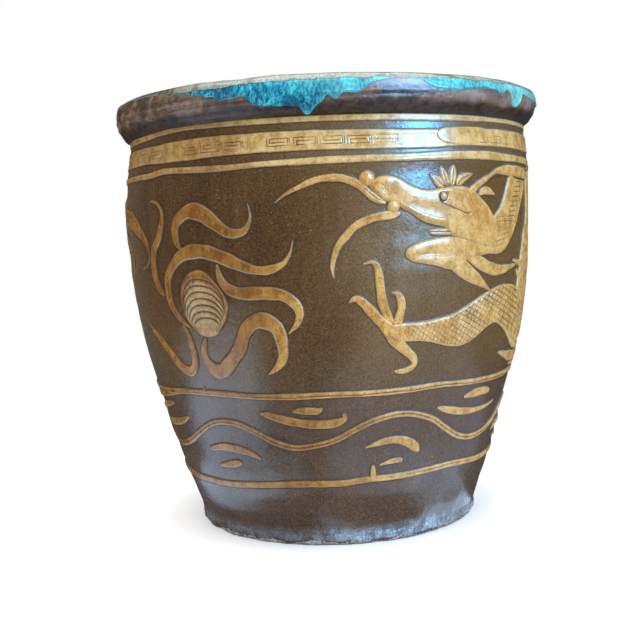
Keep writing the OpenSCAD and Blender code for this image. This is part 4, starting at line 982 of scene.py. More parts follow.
def mat_turquoise(name="turquoise_glaze"):
    """Thick glassy turquoise with deep blue curdling, thin and creamy where it leaves the lip."""
    N = Nodes(name)
    g, _, _ = ground(N)
    sd, lip = N.attr("sd"), N.attr("lip")
    thick = N.attr("thick")
    tall = N.stretch((1, 1, 0.42))
    curd = N.noise(tall, 440, 4, 0.72, 0.5)
    curd2 = N.noise(N.stretch((1, 1, 0.5), off=(1, 2, 3)), 165, 4, 0.62, 0.3)
    blot = N.noise(N.stretch((1, 1, 0.8), off=(6, 2, 3)), 42, 3, 0.6, 0.4)
    c = N.mix(N.step(curd2, 0.34, 0.62), (0.010, 0.25, 0.45), (0.035, 0.55, 0.72))
    c = N.mix(N.m("MULTIPLY", N.step(curd, 0.50, 0.68), 0.55), c, (0.19, 0.76, 0.86))
    deep = N.attr("z_deep")
    c = N.mix(N.m("MULTIPLY", N.m("POWER", N.m("SUBTRACT", 1.0, deep, clamp=True), 3.0), 0.85), c, (0.24, 0.82, 0.90))
    speck = N.m("MULTIPLY", N.step(curd, 0.52, 0.40), N.m("ADD", 0.26, N.m("MULTIPLY", deep, 0.74)), clamp=True)
    c = N.mix(speck, c, (0.004, 0.055, 0.17))
    c = N.mix(N.m("MULTIPLY", N.m("MULTIPLY", deep, 0.8), N.step(blot, 0.56, 0.44)), c, (0.006, 0.085, 0.22))
    cream = N.mix(N.step(curd, 0.35, 0.65), (0.22, 0.27, 0.22), (0.42, 0.48, 0.43))
    bare = N.mix(N.step(curd2, 0.4, 0.6), (0.045, 0.032, 0.020), (0.19, 0.165, 0.105))
    lipc = N.mix(N.attr("z_bare"), cream, bare)
    lipc = N.mix(N.m("MULTIPLY", N.step(blot, 0.54, 0.64), 0.7), lipc, (0.14, 0.115, 0.055))
    lipc = N.mix(N.m("MULTIPLY", N.m("MULTIPLY", N.step(curd2, 0.60, 0.70), 0.6), N.m("SUBTRACT", 1.0, N.attr("z_bare"))), lipc, (0.16, 0.42, 0.42))
    lip = N.m("ADD", lip, N.m("MULTIPLY", N.attr("z_bare"), 0.62))
    c = N.mix(N.step(N.m("ADD", lip, N.m("MULTIPLY", N.m("SUBTRACT", curd2, 0.5), 0.7)), 0.40, 0.60), c, lipc)
    seam = N.m("MULTIPLY", N.step(lip, 0.04, 0.30), N.step(lip, 0.80, 0.50))
    c = N.mix(N.m("MULTIPLY", seam, 0.62), c, (0.030, 0.022, 0.014))
    tip = N.m("ADD", sd, N.m("MULTIPLY", N.m("SUBTRACT", curd, 0.5), 1.2))
    c = N.mix(N.m("MULTIPLY", N.step(tip, 1.3, 0.3), 0.60), c, (0.13, 0.42, 0.42))
    c = N.mix(N.step(tip, 0.30, -0.25), c, N.mix(0.5, g, (0.02, 0.012, 0.01)))
    h = N.m("ADD", N.m("MULTIPLY", curd, 0.4), N.noise(N.co, 140, 3))
    N.shader(c, N.m("ADD", 0.10, N.m("MULTIPLY", curd2, 0.10)), N.bump(h, 0.0005, 0.4), coat=0.4, coat_rough=0.05)
    return N.mat


def mat_rim(name="rim_glaze"):
    """The rolled rim: thin mauve-brown glaze with olive runs, painted silver highlights, painted shade underneath,
    cream on the crown.
    """
    N = Nodes(name)
    g, rough_g, h_g = ground(N)
    run = N.noise(N.stretch((1, 1, 1.5)), 95, 5, 0.68, 0.9)
    run2 = N.noise(N.stretch((1, 1, 1.1), off=(4, 2, 1)), 48, 4, 0.62, 0.5)
    patch = N.noise(N.stretch((1, 1, 1.4), off=(2, 7, 1)), 30, 5, 0.66, 0.7)
    grain = N.noise(N.co, 420, 3, 0.7)
    c = N.mix(N.step(run, 0.34, 0.66), (0.060, 0.030, 0.019), (0.245, 0.152, 0.104))
    c = N.mix(N.m("MULTIPLY", N.step(run2, 0.46, 0.62), N.attr("z_olive")), c, (0.120, 0.074, 0.016))
    c = N.mix(N.m("MULTIPLY", N.step(patch, 0.50, 0.60), 0.82), c, (0.034, 0.017, 0.009))
    # painted highlight: silvery patches on the right of the roll and low on the left
    c = N.mix(N.m("MULTIPLY", N.attr("z_painted_highlight"), N.m("ADD", 0.45, N.m("MULTIPLY", run, 0.8)), clamp=True), c, (0.40, 0.36, 0.37))
    c = N.mix(N.m("MULTIPLY", N.step(grain, 0.5, 0.8), 0.35), c, (0.33, 0.25, 0.20))
    c = N.mix(N.m("MULTIPLY", N.step(grain, 0.46, 0.28), 0.35), c, (0.03, 0.016, 0.012))
    # painted shade: very dark brown under the roll
    c = N.mix(N.attr("z_painted_shade_below"), c, N.mix(N.step(run, 0.4, 0.6), (0.022, 0.010, 0.006), (0.070, 0.036, 0.018)))
    crown = N.mix(N.step(run, 0.35, 0.65), (0.20, 0.22, 0.16), (0.44, 0.48, 0.42))
    c = N.mix(N.attr("z_crown"), c, crown)
    c = N.mix(N.attr("z_in"), c, g)
    h = N.m("ADD", N.m("MULTIPLY", grain, 0.35), N.noise(N.stretch((1, 1, 2.2)), 90, 4, 0.6))
    N.shader(c, N.m("ADD", 0.30, N.m("MULTIPLY", run, 0.2)), N.bump(h, 0.0014, 0.8))
    return N.mat


def mat_clay(name="bare_stoneware"):
    """Unglazed stoneware with grit, wad scars and a blush of ash."""
    N = Nodes(name)
    g, rough_g, h_g = ground(N)
    a = N.noise(N.co, 30, 4, 0.6)
    b = N.noise(N.co, 420, 4, 0.7)
    c = N.mix(N.step(a, 0.3, 0.7), (0.21, 0.165, 0.125), (0.33, 0.275, 0.22))
    c = N.mix(N.m("MULTIPLY", N.step(b, 0.5, 0.75), 0.5), c, (0.47, 0.43, 0.38))
    v = N.voronoi(N.co, 260)
    c = N.mix(N.m("MULTIPLY", N.step(v.outputs["Distance"], 0.22, 0.08), 0.6), c, (0.09, 0.065, 0.05))
    # the scorched, crumbling edge under the glaze, with grit showing white
    burnt = N.mix(N.step(N.noise(N.co, 150, 4, 0.7), 0.35, 0.65), (0.095, 0.094, 0.100), (0.290, 0.288, 0.300))
    burnt = N.mix(N.m("MULTIPLY", N.step(b, 0.56, 0.68), 0.75), burnt, (0.55, 0.52, 0.47))
    c = N.mix(N.attr("z_burnt"), c, burnt)
    glazed = N.m("ADD", N.attr("z_splash"), N.m("MULTIPLY", N.m("SUBTRACT", N.noise(N.co, 120, 3, 0.6), 0.5), 0.9))
    crumb = N.m("MULTIPLY", N.m("MULTIPLY", N.step(glazed, 0.20, 0.40), N.step(glazed, 0.85, 0.60)), N.step(b, 0.47, 0.60))
    glazed = N.step(glazed, 0.42, 0.55)
    c = N.mix(glazed, c, g)
    c = N.mix(N.m("MULTIPLY", crumb, 0.8), c, (0.56, 0.57, 0.58))
    h = N.m("ADD", N.m("MULTIPLY", b, 0.8), N.noise(N.co, 160, 4, 0.65))
    N.shader(c, N.m("SUBTRACT", N.m("ADD", 0.72, N.m("MULTIPLY", b, 0.2)), N.m("MULTIPLY", glazed, 0.55)), N.bump(h, 0.0012, 0.8))
    return N.mat


M_GROUND = mat_ground()
M_RELIEF = mat_relief()
M_TURQ = mat_turquoise()
M_RIM = mat_rim()
M_CLAY = mat_clay()


# ---------------------------------------------------------------------------
# Broad changes of glaze over the jar, with painted sheen, reflection and shade, stored on the meshes
# ---------------------------------------------------------------------------
def blob(a, z, a0, z0, wa, wz):
    d = (a - a0 + 180) % 360 - 180
    return np.exp(-(d / wa) ** 2 - ((z - z0) / wz) ** 2)


def zones(a, z):
    a, z = np.asarray(a, float), np.asarray(z, float)
    n = fbm(a, z, 60, 77, 3, 2.0)
    dark = 0.18 + 0.95 * blob(a, z, -24, 345, 26, 80) + 0.75 * blob(a, z, -48, 320, 18, 120) \
        + 0.35 * blob(a, z, -6, 205, 16, 60) + 0.35 * blob(a, z, 0, 260, 10, 70) \
        + 0.6 * blob(a, z, 150, 330, 40, 80) + 0.5 * blob(a, z, 230, 250, 30, 70)
    rust = 0.25 + 0.8 * blob(a, z, -26, 300, 30, 90) + 0.9 * blob(a, z, 24, 250, 7, 70) \
        + 0.7 * blob(a, z, -55, 250, 14, 90) + 0.6 * blob(a, z, 8, 60, 30, 40) + 0.4 * blob(a, z, 130, 230, 30, 80)
    # darker and more violet towards the foot, partly painted shade and painted reflection
    low = smooth(245, 110, z)
    aw = (a + 180) % 360 - 180
    # pale amber on the applied clay: painted sheen over the broad zones that catch the light, and painted reflection on
    # the bands at the left edge
    pale = smooth(392, 400, z) * smooth(-26, -8, aw) * smooth(78, 55, aw) \
        + 0.60 * smooth(8, 22, aw) * smooth(88, 64, aw) * smooth(400, 384, z) * smooth(175, 195, z) \
        + 0.35 * smooth(0, 15, aw) * smooth(80, 60, aw) * smooth(185, 165, z) + 0.45 * blob(aw, z, 1, 325, 7, 60)
    # paler grey-olive brown glaze: partly its ash tone, partly painted sheen, with a painted reflection along the left
    # edge
    ash = 0.85 * blob(aw, z, 20, 300, 20, 70) + 0.6 * smooth(385, 405, z) * smooth(-22, 0, aw) * smooth(70, 45, aw) \
        + 0.5 * blob(aw, z, -74, 250, 14, 150)
    shade = 0.10 + 0.80 * smooth(0, -26, aw) * smooth(395, 385, z) + 0.62 * smooth(0, -34, aw) * smooth(385, 395, z) + 0.5 * smooth(180, 150, z) * smooth(60, 0, aw) \
        + 0.35 * smooth(70, 130, np.abs(aw)) - 0.25 * smooth(400, 412, z) * smooth(-40, 0, aw)
    # milky blue at the foot, strongest at the front: partly pooled glaze, partly a painted reflection
    foot_glaze_and_reflection = smooth(3.0, 6.0, z) * smooth(24, 9, z + 5 * n) * (0.30 + 0.62 * smooth(-16, 0, aw) * smooth(60, 46, aw))
    pale = pale + 0.34 * smooth(392, 400, z) * smooth(-76, -58, aw) * smooth(6, -20, aw)
    return {"z_dark": np.clip(dark + 0.35 * n, 0, 1.2), "z_rust": np.clip(rust, 0, 1),
            "z_low": low, "z_shade": np.clip(shade + 0.2 * n, 0, 1), "z_light_amber_and_sheen": np.clip(pale + 0.15 * n, 0, 1),
            "z_grey_olive_and_sheen": np.clip(ash + 0.15 * n, 0, 1), "z_foot_glaze_and_reflection": np.clip(foot_glaze_and_reflection, 0, 1)}


def add_zones(o, extra=None):
    me = o.data
    co = np.zeros(len(me.vertices) * 3, np.float32)
    me.vertices.foreach_get("co", co)
    co = co.reshape(-1, 3).astype(float) * 1000
    a = np.degrees(np.arctan2(co[:, 0], -co[:, 1]))
    vals = zones(a, co[:, 2])
    for k, v in {**vals, **(extra or {})}.items():
        at = me.attributes.get(k) or me.attributes.new(k, "FLOAT", "POINT")
        at.data.foreach_set("value", np.asarray(v, np.float32).ravel())
    return o


def piece(name, parts, node=None, mat=None):
    o = merge(parts, name)
    add_zones(o)
    return finish(o, node or name, mat or M_RELIEF)


# ---------------------------------------------------------------------------
# The vessel
# ---------------------------------------------------------------------------
def ring_solid(name, profile, n_a, node, mat, roughen=None, extra=None):
    """A solid turned from a closed profile of [r, z] mm, outside first, then inside."""
    P = np.array(profile, float)
    m = len(P)
    a = np.arange(n_a) * 360.0 / n_a
    A = a[:, None] + 0 * P[None, :, 0]
    rr = P[None, :, 0] + 0 * A
    zz = P[None, :, 1] + 0 * A
    w = wobble(A, zz)
    dr = roughen(A, rr, zz) if roughen else 0
    r = rr + w + dr
    V = np.stack([lean(zz) + r * np.sin(A * KD), -r * np.cos(A * KD), zz], -1) * 0.001
    i = np.arange(n_a)[:, None]
    j = np.arange(m)[None, :]
    i2, j2 = (i + 1) % n_a, (j + 1) % m
    q = np.stack([i * m + j, i2 * m + j, i2 * m + j2, i * m + j2], -1).reshape(-1, 4)
    o = make_mesh(name, V.reshape(-1, 3), q)
    o.data.set_sharp_from_angle(angle=math.radians(62))
    add_zones(o, extra(A, rr, zz) if extra else None)
    return finish(o, node, mat)


def build_walls():
    na = 576
    dz = 3.0
    # upper wall
    z = np.linspace(JOIN_Z, NECK_Z, int((NECK_Z - JOIN_Z) / dz) + 1)
    zi = np.linspace(NECK_Z, JOIN_Z, int((NECK_Z - JOIN_Z) / 5.0) + 1)
    prof = [[R(x), x] for x in z] + [[R(x) - WALL_T, x] for x in zi]

    def rings(A, r, zz):
        inner = r < R(zz) - 4
        return np.where(inner, 0.7 * np.sin(zz / 3.6 + A * KD) + 0.4 * fbm(A, zz, 26, 9, 2), 0)

    def inside(A, r, zz):
        return {"z_bareclay": np.where(r < R(zz) - 4, 1.0, 0.0)}
    ring_solid("upper_wall_body", prof, na, "upper_wall", M_GROUND, rings, inside)
    z = np.linspace(BASE_T, JOIN_Z, int((JOIN_Z - BASE_T) / dz) + 1)
    zi = np.linspace(JOIN_Z, BASE_T + 8, int((JOIN_Z - BASE_T) / 3.2) + 1)
    prof = [[R(x), x] for x in z] + [[R(x) - WALL_T, x] for x in zi]
    r0 = float(R(BASE_T)) - WALL_T
    prof += [[r0 - 1.6, BASE_T + 6], [r0 - 4.5, BASE_T + 3], [r0 - 8.5, BASE_T + 1], [r0 - 13, BASE_T]]

    def rough_low(A, r, zz):
        outer = np.where(r > R(zz) - 4, 1.0, 0.0)
        foot = outer * smooth(40, 14, zz)
        return rings(A, r, zz) + foot * (0.5 * fbm(A, zz, 9, 15, 3)) + outer * smooth(90, 30, zz) * 0.3 * fbm(A, zz, 24, 16, 2)
    ring_solid("lower_wall_body", prof, na, ("lower_wall", "middle_wall"), M_GROUND, rough_low, inside)


def build_base():
    na = 640
    rads = np.concatenate([np.linspace(0.5, FOOT_R - 8, 60), np.linspace(FOOT_R - 7, FOOT_R - 3.4, 6)])
    under = [[r, 0.0] for r in rads]
    edge = [[FOOT_R - 2.2, 0.5], [FOOT_R - 1.3, 1.4], [FOOT_R - 0.7, 2.6], [FOOT_R - 0.3, 4.0], [FOOT_R, 5.6]]
    edge += [[FOOT_R + 0.0, x] for x in np.linspace(7, BASE_T, 7)]
    top = [[r, BASE_T] for r in np.linspace(FOOT_R - 5, 0.5, 60)]
    prof = np.array(under + edge + top)
    m = len(prof)
    a = np.arange(na) * 360.0 / na
    A = a[:, None] + 0 * prof[None, :, 0]
    rr = prof[None, :, 0] + 0 * A
    zz = prof[None, :, 1] + 0 * A
    x, y = rr * np.sin(A * KD), -rr * np.cos(A * KD)
    grit = vnoise(x / 3.1, y / 3.1, zz / 3.1, 5) - 0.5
    lump = vnoise(x / 11, y / 11, zz / 11, 6) - 0.5
    side = smooth(FOOT_R - 9, FOOT_R - 2, rr) * smooth(BASE_T + 0.1, BASE_T - 5, zz)
    r = rr + wobble(A, zz) * smooth(60, 150, rr) + side * (1.5 * lump + 1.3 * grit)
    r = r + (0.5 * fbm(A, zz, 9, 15, 3) + 0.3 * fbm(A, zz, 24, 16, 2)) * smooth(FOOT_R - 9, FOOT_R - 2, rr)
    # a few chips knocked off the foot
    for ca, cz, cw, depth in ((-37, 3, 2.4, 2.6), (-25, 4, 1.6, 1.6), (14, 2, 3.0, 2.2), (44, 3, 1.8, 2.4),
                              (-58, 2, 3.4, 2.6), (98, 3, 3.0, 3.0), (160, 2, 2.6, 2.4), (-130, 3, 3.2, 3.0), (-95, 2, 2.0, 2.0)):
        d = ((A - ca + 180) % 360 - 180) * FOOT_R * KD
        r = r - depth * np.exp(-(d / (cw * 2.2)) ** 2 - ((zz - cz) / 4.0) ** 2) * side
    pot = smooth(FOOT_R - 2, FOOT_R - 22, rr)
    z = zz + np.where(zz < 1, 0.8 * pot + 0.18 * np.clip(grit, 0, 1) * smooth(2, 30, rr) * pot, 0)
    z = np.where(zz > BASE_T - 0.1, zz + 0.35 * np.sin(rr / 5.0) * smooth(150, 120, rr) - 0.25 * smooth(FOOT_R - 4, FOOT_R - 12, rr), z)
    z = np.maximum(z, 0)
    V = np.stack([r * np.sin(A * KD), -r * np.cos(A * KD), z], -1) * 0.001
    i = np.arange(na)[:, None]
    j = np.arange(m - 1)[None, :]
    i2 = (i + 1) % na
    q = np.stack([i * m + j, i2 * m + j, i2 * m + j + 1, i * m + j + 1], -1).reshape(-1, 4)
    caps = [np.arange(na)[::-1] * m, np.arange(na) * m + m - 1]
    o = make_mesh("foot_slab", V.reshape(-1, 3), q, ngons=caps)
    o.data.set_sharp_from_angle(angle=math.radians(62))
    line = 3.4 + 2.4 * fbm(A, 0 * A, 26, 18, 3) + 1.2 * np.sin(A * 0.31)
    splash = smooth(-1.2, 1.2, zz - line) * (rr > FOOT_R - 5) + np.where(rr < FOOT_R - 6, np.where(zz > 6, 1.0, 0.0), 0)
    add_zones(o, {"z_splash": np.clip(splash, 0, 1), "z_burnt": smooth(FOOT_R - 6, FOOT_R - 2, rr)})
    finish(o, "base_slab", M_CLAY)


# rim profile: outside from the neck to the crown, over it, down the throat
RIM_PTS = [[NECK_R, -1.0], [RIM_R - 12.4, 0.6], [RIM_R - 9.4, 2.2], [RIM_R - 7.2, 4.6], [RIM_R - 5.2, 7.6],
           [RIM_R - 2.8, 11], [RIM_R - 1.2, 15.5], [RIM_R - 0.3, 20], [RIM_R, 25], [RIM_R - 0.7, 30],
           [RIM_R - 2.4, 34], [RIM_R - 5.6, 37], [RIM_R - 9.6, 38.6], [RIM_R - 14, 39],
           [MOUTH_R + 19, 39], [MOUTH_R + 13, 38.8], [MOUTH_R + 7, 37.6], [MOUTH_R + 2.4, 34.8],
           [MOUTH_R + 0.2, 31], [MOUTH_R, 27], [MOUTH_R, 18], [MOUTH_R + 0.6, 13], [MOUTH_R + 4, 8.4],
           [NECK_R - WALL_T - 1.5, 4], [NECK_R - WALL_T, -1.0]]
_rp = curve(RIM_PTS, 16)
_rl = np.concatenate([[0], np.cumsum(np.hypot(np.diff(_rp[:, 0]), np.diff(_rp[:, 1])))])
RIM_LEN = _rl[-1]
_rn = np.stack([np.gradient(_rp[:, 1]), -np.gradient(_rp[:, 0])], 1)
_rn /= np.linalg.norm(_rn, axis=1)[:, None]
_crown = int(np.argmax(_rp[:, 1]))


def rim_s(zrel):
    """Arc length on the rim's outside at a height above the neck."""
    return np.interp(zrel, _rp[:_crown, 1], _rl[:_crown])


def rim_wobble(a, s):
    """Dents and lean of the rolled rim, mm out along its normal."""
    t = a * KD
    w = 0.7 * np.sin(2 * t + 1.0) + 0.5 * np.sin(3 * t + 0.3) + 0.3 * np.sin(7 * t + s / 20)
    w = w + 0.9 * fbm(a, s * 1.2, 34, 31, 3)
    # a fold under the roll on the left of the front
    aw = (a + 180) % 360 - 180
    lane = smooth(-110, -70, aw) * smooth(34, 2, aw) * (0.75 + 0.25 * np.sin(aw / 9.0))
    drift = 1.2 * np.sin(aw / 24.0)
    fold = lane * (1.0 * np.exp(-((s - 26 - drift) / 1.7) ** 2) - 0.9 * np.exp(-((s - 22.6 - drift) / 1.3) ** 2)
                   + 0.7 * np.exp(-((s - 19 - drift) / 1.6) ** 2) - 0.6 * np.exp(-((s - 15.6 - drift) / 1.3) ** 2))
    return (w + fold) * smooth(0, 6, s) * smooth(RIM_LEN, RIM_LEN - 12, s)


def rim_place(a, s, h):
    r = np.interp(s, _rl, _rp[:, 0])
    z = np.interp(s, _rl, _rp[:, 1])
    nr, nz = np.interp(s, _rl, _rn[:, 0]), np.interp(s, _rl, _rn[:, 1])
    ends = 1 - smooth(0, 8, s)
    d = rim_wobble(a, s) + h
    r = r + nr * d + wobble(a, NECK_Z + 0 * s) * np.maximum(ends, smooth(RIM_LEN - 10, RIM_LEN, s))
    z = sag(a, NECK_Z + z + nz * d)
    return np.stack([lean(NECK_Z) + r * np.sin(a * KD), -r * np.cos(a * KD), z], -1) * 0.001


SAG = [(-180, 0), (-96, -0.4), (-82, -2.2), (-72, -2.2), (-62, -0.6), (-50, -0.9), (-40, -1.2), (-36, -1.4), (-31, -1.0),
       (-26, -0.2), (-21, 1.0), (-14, 1.0), (-4, 1.6), (6, 2.3), (18, 2.6), (27, 3.0), (42, 3.3), (50, 3.2), (56, 2.8), (66, 1.8),
       (76, -0.3), (90, 0), (180, 0)]


def sag(a, z):
    """The rim's top is not level: it sags a little here and there."""
    aw = (a + 180) % 360 - 180
    return z - np.interp(aw, [p[0] for p in SAG], [p[1] for p in SAG]) * smooth(455, 480, z)


def build_rim():
    na = 840
    ns = 96
    s = np.linspace(0, RIM_LEN, ns)
    a = np.arange(na) * 360.0 / na
    A, S = np.meshgrid(a, s, indexing="ij")
    top = rim_place(A, S, 0 * A)
    # closed under the roll, 0.8 mm inside the wall's top
    V = top.reshape(-1, 3)
    i = np.arange(na)[:, None]
    j = np.arange(ns)[None, :]
    i2, j2 = (i + 1) % na, (j + 1) % ns
    q = np.stack([i * ns + j, i2 * ns + j, i2 * ns + j2, i * ns + j2], -1).reshape(-1, 4)
    o = make_mesh("rolled_rim_body", V, q)
    zr = np.interp(S, _rl, _rp[:, 1])
    rr = np.interp(S, _rl, _rp[:, 0])
    n = fbm(A, S, 22, 61, 3)
    aw = (A + 180) % 360 - 180
    extra = {
        # painted shade under the roll
        "z_painted_shade_below": smooth(13, 7, zr + 3.5 * n) * (rr > MOUTH_R + 16),
        "z_crown": smooth(34.5, 37.5, zr + 1.5 * n),
        "z_in": smooth(MOUTH_R + 6, MOUTH_R + 2, rr),
        "z_olive": 0.15 + 0.75 * smooth(-4, 12, aw) * smooth(110, 80, aw),
        # painted highlight: silvery patches on the roll
        "z_painted_highlight": np.clip(0.85 * blob(aw, zr, 18, 30, 7, 6) + 0.5 * blob(aw, zr, 36, 19, 6, 5) + 0.4 * blob(aw, zr, 64, 20, 8, 8) + 0.3 * blob(aw, zr, 40, 14, 22, 9)
                            + 0.45 * blob(aw, S, -22, 19, 16, 1.6) + 0.35 * blob(aw, S, -30, 26, 18, 1.8) + 0.2 * n, 0, 1),
    }
    add_zones(o, extra)
    finish(o, "rolled_rim", M_RIM)


# where the thick glaze has run down to: degrees round, mm up
RUN_EDGE = [[-60, 478], [-52, 477], [-46, 475.4], [-42, 473.8], [-40, 470.4], [-38.6, 472.6], [-37, 470.6], [-35, 471.6], [-33, 468.6], [-31.2, 468.4], [-29.1, 465],
            [-27.6, 465.6], [-26.2, 462.6], [-25.2, 459.9], [-23.6, 462.1], [-22.4, 461.2], [-21.3, 462.4], [-19.8, 463.6],
            [-18.6, 460.9], [-18, 457.2], [-16.9, 454.2], [-15, 452.1], [-13.2, 452.6], [-11.4, 451], [-9.7, 451.7],
            [-8, 450.4], [-6.9, 451.2], [-6.3, 448.4], [-5.9, 445], [-5.2, 443.9], [-4.4, 443.8], [-3.7, 445.4],
            [-3.1, 448.6], [-2.5, 450.8], [-1.3, 452.9], [-0.8, 457.2], [0, 459.8], [1.1, 455.8], [2.2, 455],
            [3, 459.9], [4.5, 461.4], [6, 459.6], [7.5, 461.1], [8.7, 466.1], [9.9, 469.5], [12.6, 473.6], [15, 475.8],
            [18, 476], [21, 475.6], [22.3, 473.5], [23.8, 467.9], [26, 465.2], [29.4, 463.9], [33.1, 464.1], [36.2, 466.4],
            [39.7, 469], [42.7, 468.1], [45.3, 466.4], [46.2, 463.6], [46.9, 462.5], [47.6, 464.6], [48.3, 468], [50.2, 469.2],
            [51.2, 462], [51.8, 456.4], [52.8, 453.2], [54, 452.4], [55.2, 453], [56.2, 456.4], [56.9, 463], [57.8, 467.6],
            [60, 467.4], [62.3, 465.8], [68, 464.6], [72.8, 464], [80, 462.2], [84, 464], [88, 468], [93, 472], [100, 475],
            [112, 476], [120, 473], [126, 468], [131, 463], [134.6, 454.6], [136.4, 451.6], [138, 452.6], [140, 461], [148, 468],
            [156, 466], [162, 459], [166, 463], [174, 470], [184, 474.6], [200, 476], [218, 475.4], [226, 470],
            [234, 464], [238.6, 457], [240.6, 453.6], [242.4, 454.4], [245, 462], [252, 469], [259, 474], [275, 476], [299, 476]]


def build_glaze():
    na = 1440
    a = np.arange(na) * 360.0 / na - 60.0
    E = np.array(RUN_EDGE, float)
    zb = np.interp(a, np.append(E[:, 0], E[0, 0] + 360), np.append(E[:, 1], E[0, 1]))
    k = np.array([1, 2, 3, 2, 1.0])
    zb = np.convolve(np.pad(zb, 2, mode="wrap"), k / k.sum(), "valid")
    s0 = rim_s(zb - NECK_Z)
    s1 = np.interp(0, [0], [_rl[_crown] + 24.0]) + 2.5 * fbm(a, 0 * a, 30, 91, 3)
    # rows from the lower edge over the crown to the inside of the lip
    off = np.concatenate([[-1.1, -0.35, 0, 0.25, 0.6, 1.1, 1.8], np.linspace(2.8, 100, 46)])
    L = (s1 - s0)[:, None]
    f = off[None, :] / 100.0
    base = np.where(off[None, :] < 2.5, s0[:, None] + off[None, :], 0)
    tail = s0[:, None] + 1.8 + (L - 1.8) * ((off[None, :] - 1.8) / 98.2)
    S = np.where(off[None, :] < 2.5, base, tail)
    A = a[:, None] + 0 * S
    din = S - s0[:, None]
    # the true distance to the edge, across the sloping sides of a run
    g = np.abs(np.gradient(zb)) / (np.gradient(a) * RIM_R * KD)
    slope = np.sqrt(1 + np.clip(g, 0, 6) ** 2)[:, None]
    sd = din / slope
    bead = 1.25 * np.exp(-((sd - 1.8) / 1.7) ** 2)
    run = smooth(476, 452, zb)[:, None]
    hh = np.where(sd > 0, (0.35 + 0.55 * run) * (1 - (1 - np.clip(sd / 1.6, 0, 1)) ** 2.4) + bead * (0.25 + 0.75 * run), -0.25 + 0 * sd)
    zr = np.interp(S, _rl, _rp[:, 1])
    crown = smooth(30, 37, zr)
    hh = hh * (1 - 0.55 * crown) * smooth(0, 6, s1[:, None] - S) - 0.2 * smooth(3, 0, s1[:, None] - S)
    hh = hh + 0.12 * fbm(A, S, 6, 93, 2) * (sd > 0.5)
    top = rim_place(A, S, hh)
    m = S.shape[1]
    nb = 12
    fb = np.linspace(0, 1, nb)[None, :]
    Sb = S[:, :1] * (1 - fb) + S[:, -1:] * fb
    back = rim_place(a[:, None] + 0 * Sb, Sb, 0 * Sb - 0.9)
    V = np.vstack([top.reshape(-1, 3), back.reshape(-1, 3)])
    q1 = grid_faces(na, m, wrap=True)
    o2 = na * m
    i = np.arange(na)[:, None]
    i2 = (i + 1) % na
    j = np.arange(nb - 1)[None, :]
    q2 = np.stack([o2 + i * nb + j, o2 + i * nb + j + 1, o2 + i2 * nb + j + 1, o2 + i2 * nb + j], -1).reshape(-1, 4)
    i, i2 = i[:, 0], i2[:, 0]
    q3 = np.stack([i * m, o2 + i * nb, o2 + i2 * nb, i2 * m], -1)
    q4 = np.stack([i * m + m - 1, i2 * m + m - 1, o2 + i2 * nb + nb - 1, o2 + i * nb + nb - 1], -1)
    n = fbm(A, S, 14, 95, 3)
    zabs = NECK_Z + zr
    outer = S < _rl[_crown]
    lip = np.where(outer, smooth(473.2, 474.8, sag(A, zabs) + 1.3 * n), 1.0)
    aw = (A + 180) % 360 - 180
    bare = smooth(-33, -44, aw) * smooth(-150, -120, aw) + 0.7 * blob(aw, 0 * aw, 150, 0, 40, 1) + 0.15
    deep = 0.25 - 0.25 * smooth(38, 58, aw) + 0.45 * smooth(4, -30, aw) * smooth(-120, -80, aw) + 0.75 * blob(aw, zabs, -26, 466, 9, 14) + 0.7 * blob(aw, zabs, -8, 455, 7, 10) + 0.5 * blob(aw, zabs, 40, 465, 6, 4)
    pz = np.zeros(na * nb)
    attrs = {"sd": np.concatenate([sd.ravel(), pz]), "lip": np.concatenate([lip.ravel(), pz]),
             "z_bare": np.concatenate([np.clip(bare + 0.25 * n, 0, 1).ravel(), pz]),
             "z_deep": np.concatenate([np.clip(deep, 0, 1).ravel(), pz]),
             "thick": np.concatenate([hh.ravel(), pz])}
    o = make_mesh("turquoise_glaze", V, np.vstack([q1, q2, q3, q4]), attrs=attrs)
    add_zones(o)
    finish(o, "turquoise_glaze_runs", M_TURQ)


